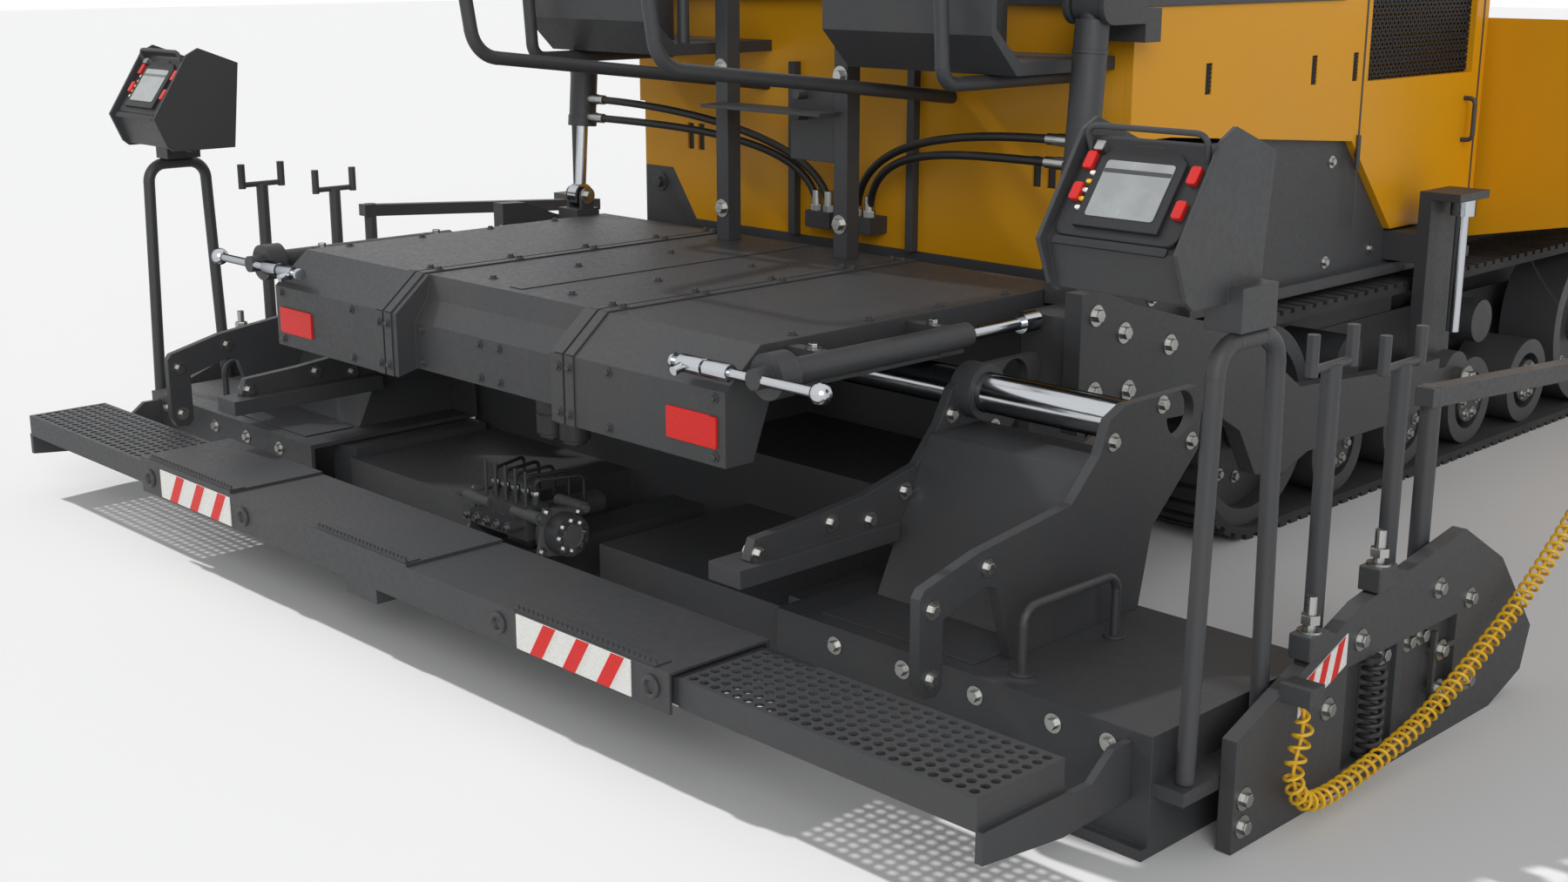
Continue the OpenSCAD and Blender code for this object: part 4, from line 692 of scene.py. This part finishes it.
INNER_BOLTS = ((0.372, 0.520), (0.640, 0.545), (0.790, 0.520), (0.930, 0.575), (1.120, 0.760), (1.308, 0.690))
OUTER_BOLTS = ((0.398, 0.505), (0.398, 0.330), (0.600, 0.565), (1.095, 0.790), (1.308, 0.855), (1.450, 0.730))
SIDE_PLATES = ((1.285, 1.315, INNER_BOLTS), (1.855, 1.885, OUTER_BOLTS))
BODY_TOP = 0.300


def extension_details():
    for side, s in BOTH:
        body = "extension_" + side
        out = X * s
        heads = []
        for near, far, spots in SIDE_PLATES:
            for y, z in spots:
                heads += [(at(s * far, y, z), out), (at(s * near, y, z), -out)]
        heads += [(at(s * x, 0.550, 0.250), -Y) for x in (1.42, 1.66, 1.90, 2.14, 2.30)]
        bolts("plate_bolts_" + side, heads, body, 0.026)
        bm = bmesh.new()
        slab(bm, at(s * 1.32, 0.600, BODY_TOP), out, Y, Z, rect(0, 0, 0.53, 0.20), 0.005, bevel=0.001)
        for y in (0.640, 1.020):
            slab(bm, at(s * 1.970, y, BODY_TOP), X, Y, Z, circle(0.030, 24), 0.006, bevel=0.001)
        piece("deflector_feet_" + side, bm, charcoal, body)
        bm = bmesh.new()
        lip = [(0, 0), (0.148, 0), (0.148, 0.170), (0.010, 0.170), (0, 0.160)]
        slab(bm, at(s * 1.165, 1.238, BODY_TOP), out, Z, Y, lip, 0.012)
        slab(bm, at(s * 1.400, 0, 0), Y, Z, -out, rect(0.022, 0.226, 0.318, 0.298), 0.055)
        piece("closing_lips_" + side, bm, charcoal, body)


# Under the deck: filter bowls, and the shoes on which the extension shells slide

BOWL_RINGS = ((0.592, 0.650, 0.049), (0.586, 0.592, 0.045), (0.522, 0.586, 0.049), (0.508, 0.522, 0.038),
              (0.496, 0.508, 0.012))


def frame_details():
    bm = bmesh.new()
    for x in (-0.060, 0.060):
        for low, high, r in BOWL_RINGS:
            slab(bm, at(x, 0.765, low), X, Y, Z, circle(r, 28), high - low, bevel=0.0015)
    piece("filter_bowls", bm, charcoal, "screed")
    bm = bmesh.new()
    for s in SIDES:
        slab(bm, at(s * 1.112, 0, 0), Y, Z, X * s, rect(0.680, 0.100, 1.250, 0.280), 0.158, bevel=0.004)
    piece("guide_shoes", bm, charcoal, "screed")


# Control boxes: bezel, screen with a painted reflection of the shade bar, buttons, shade bar and plugs

FACE_LOW, FACE_TOP = (0.520, 1.400), (0.680, 1.620)
PANEL_X = 2.270
BEZEL = 0.014
ARCH = ((-0.111, -0.103), (0.111, -0.103), (0.111, 0.070), (0.085, 0.094), (0.045, 0.096), (0.034, 0.106),
        (-0.034, 0.106), (-0.045, 0.096), (-0.085, 0.094), (-0.111, 0.070))
RED_KEYS = ((-0.139, 0.060), (-0.139, -0.020), (0.139, 0.045), (0.139, -0.040))


def control_faces():
    up = Vector((0, FACE_TOP[0] - FACE_LOW[0], FACE_TOP[1] - FACE_LOW[1])).normalized()
    out = Vector((0, -up.z, up.y))
    mid = at(0, (FACE_LOW[0] + FACE_TOP[0]) / 2, (FACE_LOW[1] + FACE_TOP[1]) / 2)
    for side, s in BOTH:
        body = "extension_" + side
        c = mid + X * s * PANEL_X
        face = c + out * BEZEL
        bm = bmesh.new()
        slab(bm, c, X, up, out, rounded(0.325, 0.250, 0.030), BEZEL, bevel=0.004)
        slab(bm, face, X, up, out, ARCH, 0.010, bevel=0.003)
        slab(bm, c + out * 0.012 - up * 0.140, X, up, out, rounded(0.300, 0.020, 0.006), 0.006, bevel=0.002)
        piece("panel_bezel_" + side, bm, black_abs, body)
        bm = bmesh.new()
        slab(bm, c + out * 0.024 - up * 0.008, X, up, out, rounded(0.178, 0.140, 0.008), 0.002)
        # Dark strip across the upper screen: painted reflection of the shade bar, not a part of the display
        slab(bm, c + out * 0.026 + up * 0.036, X, up, out, rounded(0.176, 0.010, 0.002), 0.0006, 1)
        piece("panel_screen_" + side, bm, (screen, dark_glass_and_painted_reflection), body)
        bm = bmesh.new()
        for a, b in RED_KEYS:
            slab(bm, face + X * a + up * b, X, up, out, rounded(0.026, 0.044, 0.007), 0.012, bevel=0.003)
        for k in range(5):
            key = face - X * 0.119 + up * (0.030 - 0.022 * k)
            slab(bm, key, X, up, out, rounded(0.016, 0.010, 0.005), 0.007, 1 + k % 2, 0.002)
        knob = face - X * 0.122 + up * 0.092
        slab(bm, knob, X, up, out, rounded(0.024, 0.024, 0.003), 0.022, 3, 0.003)
        piece("panel_buttons_" + side, bm, (red_knob, white_knob, cord_jacket, zinc), body)
        bm = bmesh.new()
        foot, brow = c + up * 0.075, c + up * 0.125 + out * 0.060
        bar = [foot - X * 0.150, brow - X * 0.158, brow + X * 0.158, foot + X * 0.150]
        sweep(bm, bent(bar, 0.030), 0.007, 10)
        for x in (2.180, PANEL_X, 2.360):
            slab(bm, at(s * x, 0.680, 1.290), X, Y, -Z, circle(0.017, 20), 0.026, bevel=0.003)
        slab(bm, at(s * 2.455, 0.760, 1.285), X, Y, -Z, circle(0.030, 24), 0.066, bevel=0.004)
        piece("panel_shade_" + side, bm, charcoal, body)


# End gates: striped strip, spring, bolts, studs of the crank posts

GATE_FACE = 2.545
GATE_EDGE = ((0.700, 0.280), (1.230, 0.480))
STRIP_ENDS, STRIP_TALL, STRIP_DROP, STRIP_LEAN = (0.955, 1.165), 0.080, 0.112, 0.026
SPRING_X, SPRING_SEAT_X, SPRING_Y = 2.552, 2.538, 1.300
SPRING_LOW, SPRING_TALL = 0.080, 0.230
SPRING_TURNS, TURN_STEPS = 9, 18
GATE_BOLTS = ((0.740, 0.060), (0.740, 0.130), (1.090, 0.250), (1.230, 0.390), (1.620, 0.430), (1.800, 0.360),
              (1.830, 0.120), (1.660, 0.140), (1.660, 0.250))
STUD_X, STUDS = 2.525, ((1.020, 0.400), (1.330, 0.496))


def strip_low(y):
    """Lower edge of the striped strip, which follows the gate's slanted edge."""
    (y0, z0), (y1, z1) = GATE_EDGE
    return z0 + (y - y0) * ((z1 - z0) / (y1 - y0)) - STRIP_DROP


def strip_shape(a, b, lean):
    """Outline between two stations of the strip, its top set on by the lean."""
    top = [(y + lean, strip_low(y + lean) + STRIP_TALL) for y in (b, a)]
    return [(a, strip_low(a)), (b, strip_low(b))] + top


def gate_details():
    y0, y1 = STRIP_ENDS
    step = (y1 - y0) / 3.2
    for side, s in BOTH:
        body = "extension_" + side
        out = X * s
        bm = bmesh.new()
        slab(bm, at(s * GATE_FACE, 0, 0), Y, Z, out, strip_shape(y0, y1, 0.0), PLATE_THICK)
        for k in range(3):
            a = y0 + (k + 0.14) * step
            stripe = strip_shape(a, a + step * 0.46, STRIP_LEAN)
            slab(bm, at(s * (GATE_FACE + PLATE_THICK), 0, 0), Y, Z, out, stripe, FILM_THICK, 1)
        piece("gate_hazard_strip_" + side, bm, (white_film, red_film), body)
        bm = bmesh.new()
        count = SPRING_TURNS * TURN_STEPS
        coil = []
        for k in range(count + 1):
            a = 2 * math.pi * k / TURN_STEPS
            centre = at(s * SPRING_X, SPRING_Y, SPRING_LOW + SPRING_TALL * k / count)
            coil.append(centre + (X * math.cos(a) + Y * math.sin(a)) * 0.026)
        sweep(bm, coil, 0.007, 8)
        for z, way in ((0.060, Z), (0.330, -Z)):
            slab(bm, at(s * SPRING_SEAT_X, SPRING_Y, z), X, Y, way, circle(0.030, 24), 0.014)
        piece("gate_spring_" + side, bm, black_abs, body, True)
        heads = [(at(s * GATE_FACE, y, z), out) for y, z in GATE_BOLTS]
        heads += [(at(s * 2.517, y, 0.300), out) for y in (1.400, 1.530, 1.600)]
        bolts("gate_bolts_" + side, heads, body, 0.030)
        bm = bmesh.new()
        for y, z in STUDS:
            foot = at(s * STUD_X, y, z)
            slab(bm, foot, X, Y, Z, rounded(0.062, 0.085, 0.006), 0.060, 1, 0.003)
            sweep(bm, [foot + Z * 0.055, foot + Z * 0.150], 0.014, 14)
            slab(bm, foot + Z * 0.082, X, Y, Z, circle(0.025, 6), 0.022, bevel=0.002)
            slab(bm, foot + Z * 0.060, X, Y, Z, circle(0.030, 24), 0.006)
        piece("gate_studs_" + side, bm, (zinc, charcoal), body)


# Tractor: bolts of walls and wheels, hose ends, bands of the lift barrels

REAR_WALL, SIDE_WALL = 2.100, 1.150
SKIRT_BOLTS = ((1.06, 0.900), (1.06, 1.130), (0.90, 0.930), (0.62, 0.915), (0.22, 0.915))
WHEEL_YS, WHEEL_Z, WHEEL_RIM = (2.870, 5.620), 0.402, 1.145
ROLLERS, ROLLER_Y, ROLLER_RUN, ROLLER_Z = 4, 3.460, 1.570, 0.2223
HUB_FACE = 1.215
BARREL_X = 1.200


def tractor_details():
    dark, bright = [], []
    for s in SIDES:
        out = X * s
        dark += [(at(s * x, REAR_WALL, z), -Y) for x, z in SKIRT_BOLTS]
        bright += [(at(s * SIDE_WALL, y, z), out) for y in (2.30, 2.86, 3.38) for z in (0.915, 1.280)]
        bright += [(at(s * SIDE_WALL, y, 0.930), out) for y in (3.70, 4.05, 4.40)]
        for y in WHEEL_YS:
            bright += ring_of(at(s * HUB_FACE, y, WHEEL_Z), out, 0.070, 8)
            bright += ring_of(at(s * WHEEL_RIM, y, WHEEL_Z), out, 0.200, 12)
        for k in range(ROLLERS):
            y = ROLLER_Y + k * ROLLER_RUN / (ROLLERS - 1)
            bright += ring_of(at(s * HUB_FACE, y, ROLLER_Z), out, 0.062, 6)
    bolts("skirt_bolts", dark, "tractor", 0.040, charcoal)
    bolts("side_bolts", bright, "tractor", 0.024)
    bm = bmesh.new()
    for s in SIDES:
        for x in HOSE_XS:
            foot = at(s * x, HOSE_Y, 1.1097)
            slab(bm, foot, X, Y, Z, circle(0.022, 6), 0.022, bevel=0.002)
            slab(bm, foot + Z * 0.022, X, Y, Z, circle(0.0175, 20), 0.050, bevel=0.002)
    piece("hose_ferrules", bm, zinc, "tractor")
    along = Vector((0, math.sin(LIFT_LEAN), math.cos(LIFT_LEAN)))
    for side, s in BOTH:
        refinish("lift_barrel_" + side, zinc, lambda x, y, z: x < 1.1475)
        bm = bmesh.new()
        for drop in HOSE_DROPS:
            slab(bm, beside_barrel(s * 1.1143, drop), Y, Z, -X * s, circle(0.0180, 20), 0.045, bevel=0.002)
        top = at(s * BARREL_X, LIFT_TOP[0], LIFT_TOP[1])
        collar(bm, top - along * 0.505, along, 0.046, 0.0555, 0.040, 1)
        collar(bm, top - along * 0.140, along, 0.046, 0.0545, 0.012, 1)
        piece("lift_barrel_bands_" + side, bm, (zinc, charcoal), "lift_barrel_" + side)


# Side walls: wire mesh, black sheets in the slits as painted shade, door fittings

WIRE_HALF, WIRE_THICK = 0.0028, 0.003
# Outline of a thin black sheet set in a slit: painted shade for the dark room behind it
SLIT_SHADE_SHEET = rect(0.0005, 0.0005, 0.0355, 0.0995)
SLIT_YS, SLIT_Z = (2.500, 3.150, 3.430), 1.565
DOOR_FACE, DOOR_LOW, DOOR_TALL = 1.180, 1.020, 1.220


def wire_mesh(bm, x, way, y0, y1, z0, z1, pitch):
    """Crossed wires that fill an opening in a side panel."""
    w, h = y1 - y0, z1 - z0
    for lean in (1, -1):
        for k in range(int((w + h) / pitch) + 1):
            a = k * pitch
            p = (min(a, w), max(0.0, a - w))
            q = (max(0.0, a - h), min(a, h))
            if abs(p[0] - q[0]) < 0.004:
                continue
            start, end = [at(x, y0 + (m if lean > 0 else w - m), z0 + n) for m, n in (p, q)]
            run = (end - start).normalized()
            strand = rect(0, -WIRE_HALF, (end - start).length, WIRE_HALF)
            slab(bm, start, run, run.cross(way), way, strand, WIRE_THICK)


def grille_details():
    bm = bmesh.new()
    for s in SIDES:
        out = X * s
        wire_mesh(bm, s * 1.153, out, 3.540, 4.340, 1.560, 2.060, 0.030)
        for y in SLIT_YS:
            wire_mesh(bm, s * 1.174, out, y + 0.001, y + 0.035, SLIT_Z + 0.001, SLIT_Z + 0.099, 0.014)
            # Black sheet behind the mesh: painted shade of the slit's inside
            slab(bm, at(s * 1.169, y, SLIT_Z), Y, Z, out, SLIT_SHADE_SHEET, 0.003)
        # Black sheets in the rear wall's slits: painted shade
        for x in (0.800, 0.860):
            slab(bm, at(s * x, REAR_WALL + 0.012, 1.270), out, Z, -Y, SLIT_SHADE_SHEET, 0.003)
    piece("grille_mesh", bm, black_abs, "tractor")
    bm = bmesh.new()
    for s in SIDES:
        for y in (3.500, 4.395):
            slab(bm, at(s * DOOR_FACE, y, DOOR_LOW), Y, Z, X * s, rect(0, 0, 0.010, DOOR_TALL), 0.002)
        for z in (1.250, 1.900):
            sweep(bm, [at(s * 1.186, 3.497, z), at(s * 1.186, 3.497, z + 0.120)], 0.009, 12)
        foot, head = [at(s * DOOR_FACE, 4.300, z) for z in (1.300, 1.460)]
        handle(bm, foot, head, X * s * 0.045, 0.025, 0.009)
    piece("door_fittings", bm, charcoal, "tractor", True)


# Hood, lamps, exhaust and platform

HOOD_TOP = 2.296
LOUVRES, LOUVRE_Y, LOUVRE_PITCH = 9, 3.640, 0.065
LOUVRE = ((0, 0), (0.046, 0), (0.046, 0.004), (0.012, 0.020))
GRIP_Y, GRIP_HALF, GRIP_STAND = 3.420, 0.11, 0.054


def hood_details():
    bm = bmesh.new()
    for k in range(LOUVRES):
        for x in (-0.560, 0.060):
            slab(bm, at(x, LOUVRE_Y + LOUVRE_PITCH * k, HOOD_TOP), Y, Z, X, LOUVRE, 0.500)
    piece("hood_louvres", bm, yellow, "hood")
    bm = bmesh.new()
    for x in (-0.800, 0.800):
        feet = [at(x + d, GRIP_Y, HOOD_TOP) for d in (-GRIP_HALF, GRIP_HALF)]
        handle(bm, feet[0], feet[1], Z * GRIP_STAND, 0.030, 0.010)
        for foot in feet:
            slab(bm, foot, X, Y, Z, circle(0.022, 20), 0.005)
    piece("hood_grips", bm, charcoal, "hood", True)


def lamp_details():
    glass, rims = bmesh.new(), bmesh.new()
    for s in SIDES:
        for y, way in ((2.245, -Y), (3.195, Y)):
            c = at(s * 1.150, y, 2.9145)
            slab(rims, c, X, Z, way, rounded(0.146, 0.106, 0.014), 0.006, bevel=0.002)
            slab(glass, c + way * 0.006, X, Z, way, rounded(0.124, 0.084, 0.010), 0.005, bevel=0.002)
            for k in range(5):
                fin = c + Z * (-0.045 + 0.0225 * k) - way * 0.090
                slab(rims, fin, X, Z, -way, rect(-0.06, -0.003, 0.06, 0.003), 0.010)
    piece("lamp_glasses", glass, lens, "tractor")
    piece("lamp_rims", rims, black_abs, "tractor")


def exhaust_details():
    bm = bmesh.new()
    c = at(-0.900, 3.125, 0)
    for z, r in ((2.085, 0.1165), (2.600, 0.1165), (1.960, 0.0765), (2.730, 0.0765)):
        slab(bm, c + Z * z, X, Y, Z, circle(r, 40), 0.028, bevel=0.003)
        slab(bm, c + Z * (z + 0.004) + X * r, Y, Z, X, rounded(0.040, 0.020, 0.004), 0.026)
    hinge = c + Z * 2.862 - Y * 0.078
    tilt = Matrix.Rotation(math.radians(24), 3, "X")
    flap = [(a, b + 0.080) for a, b in circle(0.082, 32)]
    slab(bm, hinge, X, tilt @ Y, tilt @ Z, flap, 0.006, bevel=0.002)
    sweep(bm, [hinge - X * 0.035, hinge + X * 0.035], 0.009, 12)
    piece("exhaust_clamps", bm, steel, "tractor")


STATION_X, CONSOLE_Y = 0.790, 2.420
PLATFORM_TOP = 1.890
TREAD_STUD = ((-0.026, 0), (0, -0.007), (0.026, 0), (0, 0.007))


def platform_details():
    """Raised studs of the tread plate, round about the consoles and the exhaust."""
    bm = bmesh.new()
    for i in range(25):
        for k in range(14):
            x, y = -1.08 + 0.09 * i, 2.110 + 0.086 * k
            if abs(abs(x) - STATION_X) < 0.14 and abs(y - CONSOLE_Y) < 0.14:
                continue
            if x < -0.75 and y > 2.95:
                continue
            a = math.radians(45 if (i + k) % 2 else -45)
            u, v = X * math.cos(a) + Y * math.sin(a), Y * math.cos(a) - X * math.sin(a)
            slab(bm, at(x, y, PLATFORM_TOP), u, v, Z, TREAD_STUD, 0.003)
    piece("platform_tread", bm, charcoal, "tractor")


# Driving stations: foam seats, consoles

PAD_STEPS = 14
PAD_EDGE = 0.30


def fullness(t):
    """Height of a pad's crown across it: full in the middle, round at the rim."""
    return max(0.0, 1 - abs(t) ** 5) ** 0.42


def cushion(bm, place, u, v, w, size, grooves):
    """Pad over a base: crowned, round-edged, stitched across into channels."""
    width, length, thick = size
    spread = [math.sin((-1 + 2 * i / PAD_STEPS) * math.pi / 2) for i in range(PAD_STEPS + 1)]
    sheets = []
    for crowned in (False, True):
        sheet = []
        for a in spread:
            line = []
            for b in spread:
                full = fullness(a) * fullness(b)
                stitch = sum(math.exp(-((b - g) / 0.045) ** 2) for g in grooves)
                dip = stitch * 0.14 if abs(a) < 0.97 else 0.0
                rise = PAD_EDGE * (1 - full)
                if crowned:
                    rise = PAD_EDGE + (1 - PAD_EDGE) * full - dip * full
                pull = 1.0 - 0.030 * (1 - full)
                flat = place + u * a * width / 2 * pull + v * b * length / 2 * pull
                line.append(bm.verts.new(flat + w * thick * rise))
            sheet.append(line)
        sheets.append(sheet)
    low, high = sheets
    for i in range(PAD_STEPS):
        for k in range(PAD_STEPS):
            bm.faces.new((high[i][k], high[i + 1][k], high[i + 1][k + 1], high[i][k + 1]))
            bm.faces.new((low[i][k], low[i][k + 1], low[i + 1][k + 1], low[i + 1][k]))
    bmesh.ops.remove_doubles(bm, verts=bm.verts, dist=0.0004)


def seat_details():
    lean = math.radians(10)
    up = Vector((0, -math.sin(lean), math.cos(lean)))
    front = Vector((0, math.cos(lean), math.sin(lean)))
    for side, s in BOTH:
        bm = bmesh.new()
        base = at(s * STATION_X, 1.850, 2.0803)
        cushion(bm, base, X, Y, Z, (0.480, 0.470, 0.120), (-0.45, 0.0, 0.45))
        back = at(s * STATION_X, 1.615, 2.1403) + up * 0.310 - front * 0.055
        cushion(bm, back, X, up, front, (0.450, 0.620, 0.110), (-0.62, -0.30, 0.02, 0.34))
        pad = piece("seat_pads_" + side, bm, vinyl, "tractor", True)
        if s < 0:
            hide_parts("seats")
        bm = bmesh.new()
        for d in SIDES:
            x = s * STATION_X + d * 0.275
            slab(bm, at(x, 1.830, 2.300), X, Y, Z, rounded(0.060, 0.300, 0.025), 0.045, bevel=0.012)
            stay = [at(x, 1.690, 2.310), at(x, 1.640, 2.200), at(x, 1.640, 2.070),
                    at(x - d * 0.120, 1.700, 2.070)]
            sweep(bm, bent(stay, 0.040), 0.014, 12)
        piece("seat_arms_" + side, bm, black_abs, "tractor", True)


def lever_radius(t):
    """Thin stick below, thick knob above."""
    return 0.007 if t < 0.5 else 0.016


def console_details():
    tilt = Matrix.Rotation(math.radians(18), 3, "X")
    u, v, w = X, tilt @ Y, tilt @ Z
    for side, s in BOTH:
        c = at(s * STATION_X, CONSOLE_Y, 2.4503) + w * 0.065
        top = c + w * 0.006
        display = v * 0.090 + u * 0.120
        bm = bmesh.new()
        slab(bm, c, u, v, w, rounded(0.540, 0.400, 0.030), 0.006, bevel=0.002)
        slab(bm, top + display, u, v, w, rounded(0.240, 0.170, 0.012), 0.030, bevel=0.004)
        for k in range(2):
            stick = c + u * (-0.190 + 0.075 * k) - v * 0.090
            slab(bm, stick, u, v, w, circle(0.030, 24), 0.016, bevel=0.003)
            sweep(bm, [stick + w * h for h in (0.010, 0.085, 0.150)], lever_radius, 12)
        hub = c - v * 0.080 + u * 0.130
        sweep(bm, around(hub + w * 0.070, u, v, 0.110, 36), 0.011, 10, closed=True)
        sweep(bm, [hub, hub + w * 0.068], 0.018, 14)
        for end in around(hub + w * 0.070, u, v, 0.104, 3, 0.5):
            sweep(bm, [hub + w * 0.062, end], 0.008, 8)
        piece("console_controls_" + side, bm, black_abs, "tractor", True)
        bm = bmesh.new()
        slab(bm, c + w * 0.036 + display, u, v, w, rounded(0.205, 0.138, 0.006), 0.002)
        piece("console_screen_" + side, bm, dark_glass_and_painted_reflection, "tractor")
        bm = bmesh.new()
        for i in range(4):
            for k in range(3):
                key = top + u * (-0.215 + 0.055 * i) + v * (0.060 + 0.045 * k)
                slab(bm, key, u, v, w, rounded(0.030, 0.022, 0.004), 0.008, (i + k) % 3, 0.002)
        piece("console_keys_" + side, bm, (white_knob, red_knob, cord_jacket), "tractor")


# Screed middle: motors and pipes of the valve unit, bolts of the frame and the tow points

MOTOR_X, MOTOR_Y, MOTOR_Z = 0.245, 0.600, 0.275
ARM_BOLTS = ((1.620, 0.990), (1.620, 0.760), (1.760, 0.920), (1.790, 0.740), (2.000, 0.850))


def drive_details():
    heads = []
    bm = bmesh.new()
    for s in SIDES:
        out = X * s
        hub = at(s * MOTOR_X, MOTOR_Y, MOTOR_Z)
        heads += ring_of(hub, out, 0.048, 8)
        heads += [(p - out * 0.058, out) for p in around(hub, Y, Z, 0.088, 4, 0.6)]
        slab(bm, hub - out * 0.070, Y, Z, out, circle(0.108, 4, 0.6), 0.012, bevel=0.004)
        slab(bm, hub, Y, Z, out, circle(0.036, 28), 0.006, bevel=0.002)
        sweep(bm, around(hub + out * 0.004, Y, Z, 0.036, 28), 0.004, 6, closed=True)
        for y in (0.520, 0.690):
            end = at(s * 0.190, y, 0.335)
            sweep(bm, [at(s * 0.060, y, 0.335), end], 0.020, 16)
            slab(bm, end, Y, Z, out, circle(0.013, 6), 0.016)
    bolts("drive_bolts", heads, "screed", 0.016)
    piece("drive_flanges", bm, iron, "screed", True)
    bm = bmesh.new()
    for k in range(5):
        x = -0.104 + 0.052 * k
        slab(bm, at(x, 0.456, 0.3017), X, Z, -Y, circle(0.012, 6), 0.014, bevel=0.002)
        slab(bm, at(x, 0.570, 0.3825), X, Y, Z, circle(0.014, 6), 0.012, bevel=0.001)
        far = x * 1.5
        pipe = [at(x, 0.570, 0.390), at(x, 0.570, 0.430), at(far, 0.720, 0.430), at(far, 0.720, 0.330)]
        sweep(bm, bent(pipe, 0.022), 0.006, 8, 1)
    piece("drive_pipes", bm, (zinc, black_abs), "screed", True)
    heads, caps = [], []
    for s in SIDES:
        out = X * s
        heads += [(at(s * 0.290, 1.725, z), -Y) for z in (1.130, 1.620)]
        heads += [(at(s * 1.430, y, z), out) for y, z in ARM_BOLTS]
        heads += [(at(s * 1.247, 1.800, 1.090), out), (at(s * 1.153, 1.800, 1.090), -out)]
        caps.append((at(s * 1.470, 3.920, 0.450), out))
    bolts("frame_bolts", heads, "screed", 0.034)
    bolts("tow_pin_caps", caps, "tractor", 0.050)


# Hopper wings: ribs and top rail

WING_FOOT, WING_TOP = (1.560, 0.985), (1.640, 1.600)
RIB_YS = (4.800, 5.380, 5.960, 6.440)


def wing_details():
    for side, s in BOTH:
        bm = bmesh.new()
        run = Vector((s * 0.080, 0, 0.625))
        way = run.normalized()
        out = Vector((s * way.z, 0, -s * way.x))
        rib = rect(0, 0, 0.060, run.length - 0.03)
        for y in RIB_YS:
            slab(bm, at(s * WING_FOOT[0], y, WING_FOOT[1]), Y, way, out, rib, 0.022, bevel=0.004)
        rail = at(s * WING_TOP[0], 4.500, WING_TOP[1]) - way * 0.060
        slab(bm, rail, Y, way, out, rect(0, 0, 2.030, 0.055), 0.026, bevel=0.004)
        piece("wing_ribs_" + side, bm, yellow, "wing_" + side)


step_details()
deck_details()
crank_details()
extension_details()
frame_details()
control_faces()
gate_details()
tractor_details()
grille_details()
hood_details()
lamp_details()
exhaust_details()
platform_details()
seat_details()
console_details()
drive_details()
wing_details()
